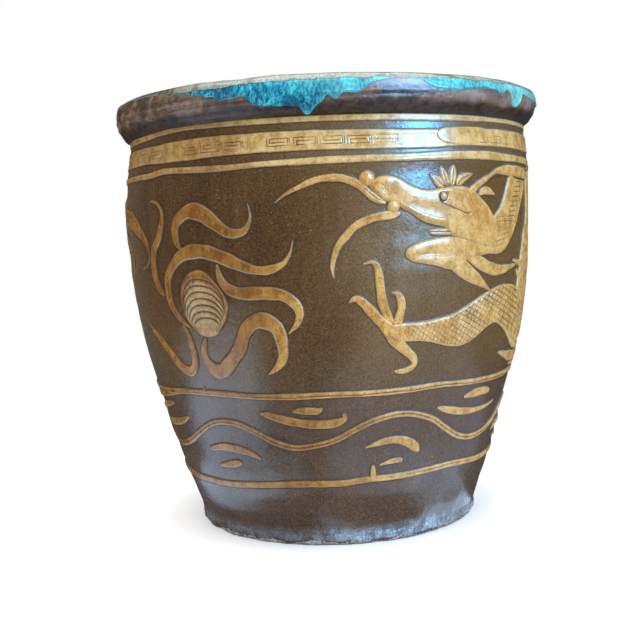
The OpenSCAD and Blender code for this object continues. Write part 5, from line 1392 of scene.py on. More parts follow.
# ---------------------------------------------------------------------------
# Rings of clay that run all the way round
# ---------------------------------------------------------------------------
def ring_parts(low, high, H, rad=1.9, n_a=None, inner=0.9, detail=None, seed=0, a0=-180.0, turn=360.0, base=0.0, under=0.35):
    """A band between two edges, each a function of the angle; all the way round, or a length of it."""
    full = turn >= 360.0
    if isinstance(n_a, np.ndarray):
        a, na = n_a, len(n_a)
    else:
        na = n_a or (1040)
        a = a0 + np.arange(na) * turn / (na if full else na - 1)
    zl, zh = low(a), high(a)
    W = zh - zl
    sk = np.array([SKIRT, SKIRT * 0.62, SKIRT * 0.3, 0.45, 0.12])
    mcount = max(int(np.max(W) / (inner * FINE)) + 1, 7)
    v = np.linspace(0, 1, mcount)
    D = np.concatenate([-sk[None, :] + 0 * W[:, None],
                        np.sort(np.concatenate([v[None, :] * W[:, None], np.array([[0.25, 0.7]]) + 0 * W[:, None],
                                                W[:, None] - np.array([[0.25, 0.7]])], 1), 1),
                        W[:, None] + sk[None, ::-1]], 1)
    Z = zl[:, None] + D
    A = a[:, None] + 0 * D
    sd = np.minimum(D, W[:, None] - D)
    U = D - 0.5 * W[:, None]
    S = (A - a0) * kz(Z[:, :1])
    h = lift(sd, H, rad)
    carve = np.zeros_like(D)
    if detail is not None:
        dh, carve = detail(A, Z, U, S, sd, 0.5 * W[:, None] + 0 * D)
        h = h + dh
    h = h + 0.14 * fbm(A, Z, 9, 71 + seed, 2) * np.clip(sd + 0.5, 0, 1)
    h[:, 0] = np.minimum(h[:, 0], -0.12)
    h[:, -1] = np.minimum(h[:, -1], -0.12)
    top = place(A, Z, h + base)
    m = D.shape[1]
    nb = max(int(np.max(W) / 7) + 1, 2)
    fb = np.linspace(0, 1, nb)[None, :]
    Zb = Z[:, :1] * (1 - fb) + Z[:, -1:] * fb
    back = place(a[:, None] + 0 * Zb, Zb, -0.9 + base)
    V = np.vstack([top.reshape(-1, 3), back.reshape(-1, 3)])
    pz = np.zeros(na * nb)
    attrs = {"sd": np.concatenate([sd.ravel(), pz - 3]), "carve": np.concatenate([np.clip(carve, 0, 1).ravel(), pz]),
             "side": np.concatenate([(np.sign(U) * DOWN[1] * under).ravel(), pz]), "tone": np.zeros(na * m + na * nb)}
    q1 = grid_faces(na, m, wrap=full)
    if full:
        o2 = na * m
        i = np.arange(na)[:, None]
        i2 = (i + 1) % na
        j = np.arange(nb - 1)[None, :]
        q2 = np.stack([o2 + i * nb + j, o2 + i * nb + j + 1, o2 + i2 * nb + j + 1, o2 + i2 * nb + j], -1).reshape(-1, 4)
        i, i2 = i[:, 0], i2[:, 0]
        q3 = np.stack([i * m, o2 + i * nb, o2 + i2 * nb, i2 * m], -1)
        q4 = np.stack([i * m + m - 1, i2 * m + m - 1, o2 + i2 * nb + nb - 1, o2 + i * nb + nb - 1], -1)
        return V, np.vstack([q1, q2, q3, q4]), [], [], attrs
    q2, caps = close_strip(na, m, 0, na * m, nb)
    return V, np.vstack([q1, q2]), [], caps, attrs


def edge_fn(points, seed, amp=0.5):
    """A height round the jar from a few places, with a hand's unevenness."""
    P = np.array(points, float)
    x = np.concatenate([P[:, 0] - 360, P[:, 0], P[:, 0] + 360])
    y = np.concatenate([P[:, 1]] * 3)
    xs = np.linspace(-200, 200, 1600)
    dense = curve(np.stack([x, y], 1), 10)
    base = np.interp(xs, dense[:, 0], dense[:, 1])

    def f(a):
        aw = (a + 180) % 360 - 180
        return np.interp(aw, xs, base) + amp * fbm(a, 0 * a + seed * 13.0, 22, seed, 3)
    return f


def key_pattern(a_list, z_mid, half=10.6, tall=3.5):
    """Long square spirals pressed in with a stamp, every other one upside down, with two bars between them."""
    base = [(-half, tall), (-half, -tall), (half, -tall), (half, tall), (-half + 3.1, tall), (-half + 3.1, -0.3),
            (half - 3.4, -0.3)]

    def f(A, Z, U, S, sd, W):
        cut = np.zeros_like(A)
        k = float(kz(z_mid))
        for i, (a0, amt) in enumerate(a_list):
            x = (A - a0) * k
            y = Z - z_mid - 0.5 * math.sin(a0 * 2.1)
            near = (np.abs(x) < half + 5) & (np.abs(y) < tall + 3)
            if not near.any():
                continue
            flip = -1 if i % 2 else 1
            bars = half + 1.9
            d, _ = line_d(x[near], y[near], np.array([(px, py * flip) for px, py in base]))
            d = np.minimum(d, line_d(x[near], y[near], np.array([(bars, -tall), (bars, tall)]))[0])
            g = np.exp(-(d / 0.62) ** 2) * amt * np.clip(0.75 + 0.5 * fbm(A[near], Z[near], 9, 55, 2), 0, 1)
            cut[near] = np.maximum(cut[near], g)
        return -0.5 * cut, cut * 0.82
    return f


def build_bands():
    top = edge_fn([[-180, 441.5], [-120, 442], [-60, 441.5], [-45, 443.4], [-35, 444], [-20, 443.2], [0, 442.3], [15, 442],
                   [30, 441.6], [60, 441], [120, 441.5]], 1, 0.35)
    low = edge_fn([[-180, 436], [-120, 436], [-65, 435], [-50, 437.4], [-40, 438.8], [-20, 437.4], [0, 436.5], [15, 435.6],
                   [30, 435], [60, 436.6], [120, 436.5]], 2, 0.45)
    piece("neck_fillet_upper_clay", [ring_parts(low, top, 1.5, seed=1, detail=swept(0.2))], "neck_fillet_upper")
    top = edge_fn([[-180, 402], [-120, 402], [-60, 400.4], [-50, 402], [-45, 403.2], [-35, 401.6], [-25, 400.5], [-15, 401.4],
                   [0, 402.5], [20, 403.2], [30, 405], [45, 406], [60, 404], [120, 402.6]], 3, 0.35)
    low = edge_fn([[-180, 395.6], [-120, 396], [-60, 394.4], [-50, 395.6], [-45, 397], [-35, 395.4], [-28, 394.4], [-15, 395.6],
                   [0, 395.6], [20, 396], [40, 397.4], [60, 396.6], [120, 396]], 4, 0.4)
    piece("neck_fillet_lower_clay", [ring_parts(low, top, 1.5, seed=2, detail=swept(0.2))], "neck_fillet_lower")
    mt = edge_fn([[-180, 429], [-120, 429], [-60, 428.5], [-45, 429], [-30, 429.8], [-15, 429], [0, 428.3], [15, 427],
                  [27, 426.6], [36, 428.6], [60, 429.6], [120, 429]], 5, 0.45)
    ml = edge_fn([[-180, 409.5], [-120, 409.5], [-60, 410], [-50, 409], [-40, 408.5], [-20, 409.6], [0, 409], [15, 408],
                  [27, 408.4], [36, 411], [60, 411], [120, 409.5]], 6, 0.45)
    keys = [(-57, .75), (-50.4, .8), (-44, .35), (-36.4, .8), (-30, .9), (-23.6, .9), (-11.6, 1), (-5.0, 1), (1.4, 1),
            (7.8, .85), (14.2, .6), (42, .6), (48.4, .65), (55, .6)]
    keys += [(a, 0.5 + 0.4 * math.sin(a * 1.7) ** 2) for a in np.arange(66, 296, 6.4)]

    def detail(A, Z, U, S, sd, W):
        k = key_pattern(keys, 418.0)
        aw = (A + 90) % 360 - 90
        dh, cv = k(aw, Z, U, S, sd, W)
        v = U / np.maximum(W, 1)
        dh = dh - 0.25 * np.exp(-((v) / 0.5) ** 2) * np.clip(sd, 0, 1) + 0.12 * np.sin(v * 12) * np.clip(sd, 0, 1)
        return dh, cv
    fine = 1.0
    angles = np.concatenate([np.linspace(-62, 62, int(1040 / fine), endpoint=False), np.linspace(62, 298, int(620 / fine), endpoint=False)])
    band = ring_parts(ml, mt, 1.45, rad=1.8, n_a=angles, inner=0.55, seed=3, detail=detail)
    # the rounded end of the strip, lapped over its beginning
    lap = pad([[28.1, 421.6], [28.2, 418.5], [28.9, 415.4], [30.2, 413], [32.4, 411.6], [36, 411], [41, 411.2], [46, 411.4]],
              [[28.1, 422.4], [28.4, 425], [29.2, 427.4], [30.8, 428.8], [33, 429.4], [36, 429.9], [41, 430.8], [46, 430.4]],
              H=3.0, rad=2.2, cell=0.9, seed=4,
              detail=lambda A, Z, U, S, sd, W: (-1.9 * smooth(33, 45.5, A) * np.clip(sd + 1.2, 0, 1.0), np.zeros_like(A)))
    piece("meander_band_clay", [band, lap], "meander_band")


def build_sea():
    def ribbon(points, hw, seed, amp=0.35):
        c = edge_fn(points, seed, amp)
        w = lambda a: hw * (1 + 0.10 * fbm(a, 0 * a + 50 + seed, 26, seed + 40, 2))
        # widen across where the line climbs, so that it keeps its width
        sl = lambda a: np.sqrt(1 + ((c(a + 0.5) - c(a - 0.5)) / 3.55) ** 2)
        return (lambda a: c(a) - w(a) * sl(a)), (lambda a: c(a) + w(a) * sl(a))
    lo, hi = ribbon(LINE_A, 3.2, 11)
    nub = strip([[-40.4, 169, 2.2], [-40.2, 173, 1.6], [-40, 176, 0.6]], H=1.8, seed=5)
    piece("waterline_upper_clay", [ring_parts(lo, hi, 2.3, seed=11, detail=tooled(0.5, (-0.25,), 0.5), under=0.8), nub], "waterline_upper")
    lo, hi = ribbon(LINE_B, 3.6, 12)
    nub = strip([[11.2, 76, 3.6], [11.1, 82, 3.0], [11, 88, 2.2], [11, 90.6, 1.0]], H=2.2, seed=6)
    split = lambda A, Z, U, S, sd, W: tuple(
        x * (0.35 + 0.65 * blob(A, Z * 0, 38, 0, 13, 1)) for x in tooled(0.9, (0.1,), 0.5)(A, Z, U, S, sd, W))
    piece("waterline_lower_clay", [ring_parts(lo, hi, 2.3, seed=12, detail=split, under=0.8), nub], "waterline_lower")
    lo, hi = ribbon(WAVE, 3.3, 13, 0.25)
    piece("wave_line_clay", [ring_parts(lo, hi, 2.4, seed=13, detail=tooled(0.8, (-0.05,), 0.5), under=0.8)], "wave_line")
    piece("wave_dashes_upper_clay", [strip(d, H=2.3, seed=i, detail=swept(0.3), round_ends=(False, True)) for i, d in enumerate(DASH_UP)],
          "wave_dashes_upper")
    piece("wave_dashes_lower_clay", [strip(d, H=2.3, seed=i + 20, detail=swept(0.3), round_ends=(False, True)) for i, d in enumerate(DASH_LOW)],
          "wave_dashes_lower")


# ---------------------------------------------------------------------------
# The flaming pearl
# ---------------------------------------------------------------------------
def build_pearl():
    a0, z0 = -44.0, 226.0
    km = float(kz(264))

    def P(a, z):
        return ((a - a0) * km, z)
    outline = curve([P(*p) for p in [(-35.4, 298.4), (-37.8, 296), (-40, 289.6), (-41.6, 280), (-42.2, 268.6),
                                     (-41.9, 257), (-41, 247.6), (-39.4, 240), (-37.4, 233), (-35.6, 230.2),
                                     (-33.6, 230), (-31.4, 232.6), (-29.6, 239), (-28.2, 247), (-27.1, 256),
                                     (-26.9, 264), (-27.7, 273), (-29.2, 282), (-31, 290), (-33.1, 296.4)]], 6, closed=True)
    # nested shell-like arches, each [left foot, crown, right foot]
    arches = [((-41.2, 264), (-35.6, 289.4), (-27.7, 263)), ((-41.3, 258.6), (-35.2, 282.8), (-27.6, 257.6)),
              ((-41.1, 253.4), (-34.8, 276.2), (-27.7, 252.6)), ((-40.6, 249.4), (-34.4, 269.6), (-28.1, 248.8)),
              ((-40, 246), (-34, 263), (-28.6, 245.6)), ((-39.2, 243.4), (-33.8, 256.4), (-29.2, 243)),
              ((-38.2, 241.8), (-33.6, 249.8), (-29.9, 241.2))]

    def shape(X, Z):
        sd = poly_sd(X, Z, outline)
        h = lift(sd, 3.0, 3.2) + 0.9 * np.clip(sd / 26, 0, 1)
        carve = np.zeros_like(X)
        for l, c, r in arches:
            lx, lz = P(*l)
            cx, cz = P(*c)
            rx, rz = P(*r)
            pts = curve([(lx, lz), (lx + (cx - lx) * 0.14, lz + (cz - lz) * 0.52), (lx + (cx - lx) * 0.5, lz + (cz - lz) * 0.90),
                         (cx, cz), (cx + (rx - cx) * 0.55, rz + (cz - rz) * 0.86), (cx + (rx - cx) * 0.9, rz + (cz - rz) * 0.45),
                         (rx, rz)], 6)
            d, t = line_d(X, Z, pts)
            fade = np.clip(np.sin(np.clip(t, 0, 1) * math.pi) * 2.2, 0, 1)
            g = np.exp(-(d / 0.95) ** 2) * (0.5 + 0.5 * fade)
            carve = np.maximum(carve, g)
            below, _ = line_d(X, Z + 2.6, pts)
            h = h + 0.35 * np.exp(-(below / 1.3) ** 2) * fade
        h = h - 1.0 * carve * smooth(0.5, 3, sd)
        return sd, h, np.clip(carve, 0, 1) * smooth(0.5, 3, sd)
    part = sheet(a0, -24.6, z0, 303, 0.75, shape)
    o = piece("pearl_clay", [part], "pearl")
    # the shell-like ridges and the cap under them are thinly glazed and pale
    co = np.array(part[0]) * 1000
    a, z = np.degrees(np.arctan2(co[:, 0], -co[:, 1])), co[:, 2]
    ends = curve([P(*p) for p in [(-41, 246), (-40.6, 264), (-38.6, 278), (-35.2, 287), (-31, 280), (-28, 264), (-27.8, 248), (-31, 240), (-37, 239)]], 8, closed=True)
    sdp = poly_sd((a - a0) * km, z, ends)
    shell = np.maximum(smooth(-0.8, 1.6, sdp), blob(a, z, -34.2, 234, 3.6, 6))
    o.data.attributes["z_light_amber_and_sheen"].data.foreach_set("value", (0.52 * shell).astype(np.float32))


# ---------------------------------------------------------------------------
# The dragon's head
# ---------------------------------------------------------------------------
def build_head():
    a0 = 6.0
    km = float(kz(340))

    def P(pts):
        return [((a - a0) * km, z) for a, z in pts]

    def cut(lines, X, Z):
        tot = np.zeros_like(X)
        for pts, wid in lines:
            d, t = line_d(X, Z, curve(P(pts), 8))
            weak = 0.35 if wid < 0 else 1.0       # a faint line, only pressed in
            tot = np.maximum(tot, weak * np.exp(-(d / abs(wid)) ** 2) * np.clip(np.minimum(t, 1 - t) * 8 + 0.25, 0, 1))
        return tot

    skull = curve(P([(10.1, 372.6), (10.9, 378), (12.4, 381.6), (14.4, 382.6), (16.6, 381), (19, 375.8), (21.8, 370.2),
                     (25.2, 367.4), (28.4, 369.2), (31, 370.6), (34, 371), (37, 369.4), (40, 364.6), (42, 358.6),
                     (43.4, 354.6), (44.6, 350.6), (46.7, 341.4), (48.6, 333), (48.6, 322), (47.4, 312), (44, 309.6),
                     (38, 313.6), (34.6, 317.8), (31.6, 322.6), (30.2, 327.4), (29.2, 331), (25.5, 334.5),
                     (22.7, 338.6), (20, 346), (18, 350.2), (16.4, 354.6), (14, 357.8), (12, 362), (10.8, 367)]), 6, closed=True)
    eye_a, eye_z = 28.9, 360.8
    lines = [
        ([(27.6, 357.2), (29.2, 353.6), (31.6, 350), (34, 346.6), (35.8, 344), (37.2, 343.8), (37.8, 346)], 0.48),   # lower lid
        ([(26.8, 366.4), (29, 367.4), (31.4, 367)], -0.45),     # brow
        ([(12.4, 375.2), (13.4, 372), (13.6, 368.4)], -0.5),                # nostril fold
        ([(19.4, 352.6), (22.4, 346.4), (25.6, 341.6), (29.6, 338.4)], -0.4),   # upper lip
    ]

    def shape(X, Z):
        sd = poly_sd(X, Z, skull)
        ex, ez = (eye_a - a0) * km, eye_z
        h = lift(sd, 3.4, 3.4)
        hump = lambda pts, wid, amt: amt * np.exp(-(line_d(X, Z, curve(P(pts), 6))[0] / wid) ** 2)
        h = h + 0.6 * smooth(0.3, 3, sd) * (
            hump([(12.6, 377.6), (14.2, 377.4)], 4.4, 1.1) + hump([(11.8, 369), (12.4, 364.6)], 3.6, 0.7)
            + hump([(17.4, 372), (22, 360), (27, 356)], 6.0, 0.8)
            + hump([(20, 349.6), (24.6, 341.6), (29, 337)], 3.4, 0.8)
            + hump([(28, 367), (31.6, 366.4), (34.4, 361)], 2.6, 1.0)
            + hump([(34.6, 350), (37.6, 340), (37, 330)], 6.4, 0.9)
            + hump([(41.8, 347), (45.6, 338)], 3.0, 0.6) + hump([(42, 338), (46.4, 330.6)], 3.0, 0.6)
            + hump([(42, 330), (46, 324.6)], 3.0, 0.6) + hump([(39.4, 321), (44, 317.4)], 3.0, 0.6))
        c = cut(lines, X, Z)
        # the eye: a ball in a ring
        d = np.hypot(X - ex, Z - ez)
        ring = np.exp(-((d - 4.7) / 0.65) ** 2) * (0.45 + 0.55 * smooth(0.3, -0.6, ((X - ex) * 0.8 + (Z - ez) * 0.6) / np.maximum(d, 1)))
        h = h + 1.0 * np.exp(-(d / 4.4) ** 4)
        c = np.clip(np.maximum(c, ring), 0, 1) * smooth(0.2, 1.6, sd)
        return sd, h - 0.95 * c, c
    part = sheet(a0 + 2.6, 50.5, 308, 386, 0.72, lambda X, Z: shape(X + 2.6 * km, Z))
    piece("dragon_skull_clay", [part], "dragon_skull")

    # the eye's pellet
    ball = []
    for (ca, cz, rad, hh, nm, nd) in ((28.9, 360.8, 3.6, 1.6, "dragon_eye_clay", "dragon_eye"),
                                      (9.4, 380.3, 7.7, 4.2, "dragon_nose_ball_clay", "dragon_nose_ball"),
                                      (15.7, 352.4, 6.4, 3.9, "dragon_chin_knob_clay", "dragon_chin_knob")):
        base = 3.0 if "eye" in nm else 0.0

        def shape_ball(X, Z, rad=rad, hh=hh, base=base, ca=ca, cz=cz):
            d = np.hypot(X - (rad + 4), Z - cz)
            sd = rad - d
            h = np.where(sd >= 0, 0.42 + hh * np.sqrt(np.clip(1 - (d / rad) ** 2, 0, 1)) ** 1.25, lift(sd, 1.0))
            return sd, h + base, np.zeros_like(X)
        km2 = float(kz(cz))
        part = sheet(ca - (rad + 4) / km2, ca + (rad + 4) / km2, cz - rad - 4, cz + rad + 4, 0.62, shape_ball)
        if base:
            v = part[0].copy()
            r = np.hypot(v[:, 0], v[:, 1])
            part = (v, part[1], part[2], part[3], part[4])
        piece(nm, [part], nd)

    jaw = curve(P([(18.5, 307.6), (19.2, 311.6), (21, 315.4), (24.4, 319.2), (28, 320.8), (31.4, 321.2), (35, 319),
                   (38.6, 315), (42.4, 312), (45.4, 308), (45, 303), (42.4, 300.6), (39, 299.4), (36.4, 296.6),
                   (34.6, 292.6), (32.4, 289.4), (30, 288.8), (27.7, 292), (24.4, 295), (20.6, 298), (18.9, 302)]), 6, closed=True)

    def jaw_shape(X, Z):
        X = X + 8 * km
        sd = poly_sd(X, Z, jaw)
        h = lift(sd, 3.2, 3.2)
        hump = lambda pts, wid, amt: amt * np.exp(-(line_d(X, Z, curve(P(pts), 6))[0] / wid) ** 2)
        h = h + 0.5 * smooth(0.3, 3, sd) * (hump([(20.6, 307), (25, 313), (31, 314.4)], 4.0, 0.9) + hump([(22, 300.6), (29, 298.6), (34, 300)], 3.0, 0.6)
                                     + hump([(36, 310), (42, 305)], 4, 0.5))
        c = cut([([(22, 304.6), (26, 305.2), (30, 305.4)], -0.4)], X, Z) * smooth(0.2, 1.6, sd)
        return sd, h - 0.85 * c, c
    piece("dragon_jaw_clay", [sheet(a0 + 8, 49, 284, 326, 0.75, jaw_shape)], "dragon_jaw")

    short = pad([[30.4, 291], [32.6, 284.6], [35.6, 277.2], [38.8, 272], [41.8, 268.4], [45.8, 262.8]],
                [[35.6, 298.6], [37.4, 292.6], [39.4, 286.6], [41.6, 280.4], [43.4, 273.6], [46, 263.6]], H=2.8, rad=2.6,
                detail=swept(0.3), seed=7)
    long_ = strip([[36.6, 301.4, 3.6], [39, 296.6, 5.6], [42, 291.4, 7], [45, 287, 7], [48.6, 284.4, 5.8],
                   [52, 284.6, 4.6], [55.6, 286.2, 3.2], [60.2, 288.6, 0.7]], H=2.8, detail=swept(0.3), seed=8, round_ends=(True, False))
    piece("dragon_beard_clay", [short, long_], "dragon_beard")
    piece("dragon_tongue_clay", [strip(TONGUE, H=2.6, seed=9, round_ends=(False, True), detail=tooled(0.5, (0.0,), 0.5))], "dragon_tongue")
    piece("dragon_ear_clay", [strip(EAR, H=2.4, seed=10, detail=swept(0.25))], "dragon_ear")
    piece("dragon_antler_clay", [strip(ANTLER, H=2.5, seed=11, detail=swept(0.25))], "dragon_antler")
    piece("dragon_crest_clay", [strip(c, H=2.3, seed=12 + i, detail=tooled(0.22, (0.0,), 0.45)) for i, c in enumerate(CREST)], "dragon_crest")
    piece("whisker_upper_clay", [strip(WHISKER_UP, H=2.3, seed=3, round_ends=(False, False), detail=swept(0.3))], "whisker_upper")
    piece("whisker_lower_clay", [strip(WHISKER_LOW, H=2.3, seed=4, round_ends=(True, False), detail=swept(0.3))], "whisker_lower")


# ---------------------------------------------------------------------------
# The dragon's body and limbs
# ---------------------------------------------------------------------------
def belly(A, Z, U, S, sd, W):
    """Short cross cuts up the throat, and scales low down where the neck is widest."""
    v = U / np.maximum(W, 1)
    up = smooth(326, 336, Z)
    ph = (Z + 1.1 * v * v - 0.06 * (A - 56) * 4) / 5.0
    fr = np.abs(ph - np.round(ph)) * 5.0
    lane = smooth(-0.30, -0.16, v) * smooth(0.52, 0.38, v)
    g = 0.8 * np.exp(-(fr / 0.5) ** 2) * lane * up * smooth(2.0, 4.0, sd)
    ds, cs = lozenges(50, 315, 58, 6.2, 7.4, 0.5)(A, Z, U, S, sd, W)
    out = smooth(350, 336, Z) * smooth(0.85, 0.55, v)
    return -0.85 * g + ds * out, np.clip(np.maximum(g, cs * out), 0, 1)


def build_dragon():
    piece("dragon_neck_clay", [pad(NECK_E, NECK_F, H=2.8, rad=4.5, cell=0.55, detail=belly, seed=20)], "dragon_neck")
    piece("dragon_body_clay", [strip(BODY, H=2.7, rad=5.0, step=1.1, cross=1.0, detail=lattice(7.6, 10.0, 0.6), round_ends=(False, False), seed=21, jitter=0.7)],
          "dragon_body")
    piece("dragon_dorsal_fins_clay", [strip(f, H=2.4, seed=i, round_ends=(False, False), detail=tooled(0.5, (0.0,), 0.5)) for i, f in enumerate(FINS)],
          "dragon_dorsal_fins")
    piece("dragon_shoulder_wisps_clay", [strip(f, H=2.6, seed=i, round_ends=(False, False)) for i, f in enumerate(SHOULDER_WISPS)],
          "dragon_shoulder_wisps")
    piece("tail_tuft_clay", [strip(f, H=2.5, seed=i + 3, round_ends=(False, False), detail=tooled(0.45, (-0.35, 0.3), 0.55)) for i, f in enumerate(TUFT)],
          "tail_tuft")
    piece("foreleg_near_clay", [pad(LEG_TOP, LEG_LOW, H=3.5, rad=4.0, cell=0.5, detail=lozenges(24, 230, 16, 5.8, 7.0, 0.5, grow=0.03, first=17.5), seed=22, caps_round=(True, False))],
          "foreleg_near")
    for n, (e, f) in LEGS.items():
        piece(n + "_clay", [pad(e, f, H=3.4, rad=4.0, cell=0.9, detail=lattice(6.6, 9.0, 0.6), seed=23)], n)
    for n, list_ in CLAWS.items():
        piece(n + "_clay", [strip(c, H=2.9, seed=i + 5, round_ends=(False, True), detail=swept(0.3)) for i, c in enumerate(list_)], n)
    for n, p in FLAMES.items():
        piece(n + "_clay", [strip(p, H=2.4, seed=len(n), round_ends=(True, False), detail=swept(0.35))], n)
    piece("rear_flames_clay", [strip(p, H=2.4, seed=i, round_ends=(True, False), detail=swept(0.35)) for i, p in enumerate(REAR_FLAMES)], "rear_flames")
    piece("cloud_wisps_clay", [strip(p, H=2.4, seed=i + 9, round_ends=(False, False), detail=swept(0.35)) for i, p in enumerate(WISPS)], "cloud_wisps")


build_walls()
build_base()
build_rim()
build_glaze()
build_bands()
build_sea()
build_pearl()
build_head()
build_dragon()


# ---------------------------------------------------------------------------
# Camera, floor and light
# ---------------------------------------------------------------------------
def look(pos, pitch_down, yaw_left, roll):
    """World matrix of a camera that looks along +Y, turned by these degrees."""
    base = Matrix.Rotation(math.radians(90 - pitch_down), 4, "X")
    return Matrix.Translation(Vector(pos)) @ Matrix.Rotation(math.radians(yaw_left), 4, "Z") @ base @ Matrix.Rotation(math.radians(roll), 4, "Z")


cam = bpy.data.cameras.new("camera")
cam.sensor_width = 36.0
cam.lens = 992.5 / 640 * 36.0
cam.clip_start = 0.01
cam_o = bpy.data.objects.new("camera", cam)
scene.collection.objects.link(cam_o)
cam_o.matrix_world = look((-0.0092, -1.1905, 0.325), 4.708, 0.185, -2.476)
scene.camera = cam_o

# floor: one round pale sheet of paper whose edge fades into the white behind it
rings = [0.0, 0.3, 0.6, 1.0, 1.5, 2.1, 2.8]
fv = [(0.0, 0.0, 0.0)]
for r in rings[1:]:
    fv += [(r * math.sin(t * math.tau / 96), -r * math.cos(t * math.tau / 96), 0.0) for t in range(96)]
ft = [(0, 1 + t, 1 + (t + 1) % 96) for t in range(96)]
fq = [(1 + k * 96 + t, 1 + (k + 1) * 96 + t, 1 + (k + 1) * 96 + (t + 1) % 96, 1 + k * 96 + (t + 1) % 96)
      for k in range(len(rings) - 2) for t in range(96)]
floor = make_mesh("floor", fv, fq, ft, smooth_shade=False)
N = Nodes("floor_paper")
paper = N.shader(N.mix(N.noise(N.co, 3.0, 2), (0.90, 0.90, 0.90), (0.92, 0.92, 0.92)), 0.95)
clear = N.t.nodes.new("ShaderNodeBsdfTransparent")
fade = N.t.nodes.new("ShaderNodeMixShader")
away = N.t.nodes.new("ShaderNodeVectorMath")
away.operation = "LENGTH"
N.t.links.new(N.co, away.inputs[0])
N.t.links.new(N.step(away.outputs["Value"], 0.30, 0.95), fade.inputs[0])
N.t.links.new(paper.outputs[0], fade.inputs[1])
N.t.links.new(clear.outputs[0], fade.inputs[2])
N.t.links.new(fade.outputs[0], N.out.inputs["Surface"])
floor.data.materials.append(N.mat)
floor.visible_glossy = False


def area(name, pos, target, size, power, color=(1, 1, 1), spread=180):
    d = bpy.data.lights.new(name, "AREA")
    d.shape = "RECTANGLE"
    d.size, d.size_y = size
    d.energy = power
    d.color = color
    d.spread = math.radians(spread)
    o = bpy.data.objects.new(name, d)
    scene.collection.objects.link(o)
    v = Vector(target) - Vector(pos)
    o.matrix_world = Matrix.Translation(Vector(pos)) @ v.to_track_quat("-Z", "Y").to_matrix().to_4x4()
    return o


def polar(az, dist, z):
    """A place at an azimuth measured from the front towards the right."""
    return (dist * math.sin(az * KD), -dist * math.cos(az * KD), z)


def mirrored_only(o):
    """A light that shows in the glaze as a reflection, and lights nothing by itself."""
    o.visible_camera = False
    o.visible_diffuse = False
    o.visible_transmission = False
    o.visible_volume_scatter = False
    return o


def watts(size, radiance):
    return radiance * math.pi * size[0] * size[1]


jar_only = bpy.data.collections.new("lit_by_the_key")
for o in list(scene.collection.objects):
    if o.type == "MESH" and o.name != "floor":
        jar_only.objects.link(o)

# soft light that models the jar: a large key from the right of the front, a weaker fill from the left
key = area("key", polar(38, 2.7, 1.55), (0, 0, 0.30), (1.7, 1.7), 64, (1.0, 0.985, 0.96))
fill = area("fill", polar(-48, 3.0, 1.1), (0, 0, 0.25), (1.8, 1.8), 16, (1.0, 0.96, 0.91))
side = area("side", polar(-108, 2.0, 0.8), (0, 0, 0.30), (1.2, 1.4), 21, (1.0, 0.86, 0.74))
for o in (key, fill, side):
    o.visible_camera = False
    o.visible_glossy = False
    o.light_linking.receiver_collection = jar_only
top = area("top", (0.10, -0.25, 2.7), (0, 0, 0.1), (3.2, 3.2), 96, (1.0, 0.995, 0.98))
top.visible_glossy = False

# what the glaze mirrors: a pale ceiling, a tall window at the right, paving that lies open to the sky at the left
size = (3.2, 3.2)
mirrored_only(area("ceiling", (0.10, -0.25, 2.71), (0, 0, 0.1), size, watts(size, 1.5), (0.80, 0.90, 1.0)))
size = (0.74, 1.50)
mirrored_only(area("window", polar(50, 2.4, 1.29), (0, 0, 0.42), size, watts(size, 52.0), (0.08, 0.47, 1.0)))
size = (0.52, 0.40)
mirrored_only(area("window_low", polar(45, 2.4, 0.36), (0, 0, 0.33), size, watts(size, 9.0), (0.42, 0.72, 1.0)))


def upward(name, az, dist, size, radiance, color):
    """A bright patch of ground, length along the line from the jar, seen only in the glaze."""
    x, y, _ = polar(az, dist, 0)
    o = mirrored_only(area(name, (x, y, 0.004), (x, y, 1.0), size, watts(size, radiance), color))
    o.matrix_world = Matrix.Translation((x, y, 0.004)) @ Matrix.Rotation(math.radians(az - 90), 4, "Z") @ Matrix.Rotation(math.pi, 4, "X")
    return o


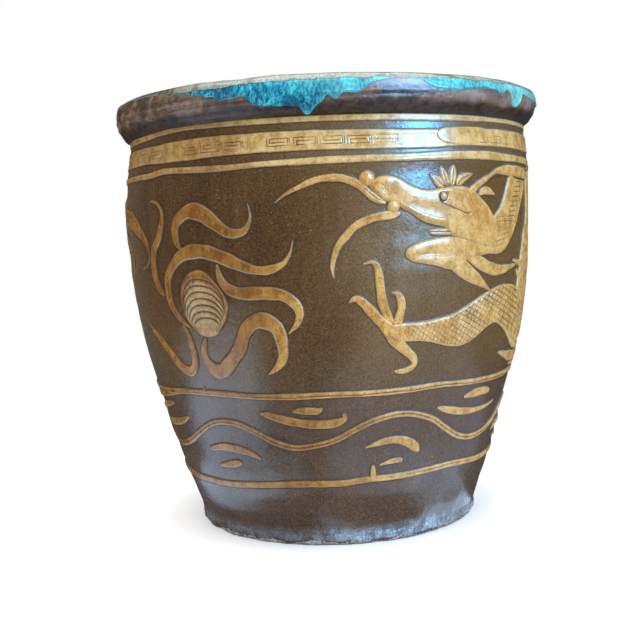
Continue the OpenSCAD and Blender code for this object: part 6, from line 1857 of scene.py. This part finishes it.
sky = (0.50, 0.72, 1.0)
upward("paving_near", -59, 0.265, (0.15, 0.25), 2.3, sky)
upward("paving_mid", -63, 0.44, (0.20, 0.40), 2.8, sky)
upward("paving_far", -63, 0.71, (0.34, 0.58), 2.7, sky)
upward("paving_right", 58, 0.170, (0.034, 0.12), 2.4, sky)
upward("paving_front", 22, 0.166, (0.014, 0.20), 1.7, sky)
upward("foot_front", 22, 0.255, (0.080, 0.24), 1.2, (0.42, 0.70, 1.0))
upward("foot_right", 52, 0.235, (0.080, 0.15), 1.8, (0.42, 0.70, 1.0))
upward("foot_left", -40, 0.250, (0.090, 0.22), 1.2, sky)
upward("ground_right", 45, 0.52, (0.62, 0.66), 0.85, (0.55, 0.72, 1.0))

# the shadow on the white floor stays as light as a sheet of tissue would leave it
floor_only = bpy.data.collections.new("washed_floor")
floor_only.objects.link(floor)
wash = area("floor_wash", (0, 0, 2.2), (0, 0, 0), (3.0, 3.0), 60)
wash.visible_camera = False
wash.visible_glossy = False
wash.light_linking.receiver_collection = floor_only
wash.light_linking.blocker_collection = floor_only

world = bpy.data.worlds.new("studio")
scene.world = world
world.use_nodes = True
wt = world.node_tree
wt.nodes.clear()
wo = wt.nodes.new("ShaderNodeOutputWorld")
lit = wt.nodes.new("ShaderNodeBackground")
lit.inputs["Color"].default_value = (0.97, 0.985, 1.0, 1)
lit.inputs["Strength"].default_value = 0.34
dim = wt.nodes.new("ShaderNodeBackground")
dim.inputs["Color"].default_value = (0.97, 0.985, 1.0, 1)
dim.inputs["Strength"].default_value = 0.07
seen = wt.nodes.new("ShaderNodeBackground")
seen.inputs["Color"].default_value = (1, 1, 1, 1)
seen.inputs["Strength"].default_value = 1.0
path = wt.nodes.new("ShaderNodeLightPath")
both = wt.nodes.new("ShaderNodeMixShader")
gloss = wt.nodes.new("ShaderNodeMixShader")
wt.links.new(path.outputs["Is Glossy Ray"], gloss.inputs[0])
wt.links.new(lit.outputs[0], gloss.inputs[1])
wt.links.new(dim.outputs[0], gloss.inputs[2])
wt.links.new(path.outputs["Is Camera Ray"], both.inputs[0])
wt.links.new(gloss.outputs[0], both.inputs[1])
wt.links.new(seen.outputs[0], both.inputs[2])
wt.links.new(both.outputs[0], wo.inputs[0])

scene.view_settings.view_transform = "Standard"
scene.view_settings.look = "None"
scene.view_settings.exposure = 0.0
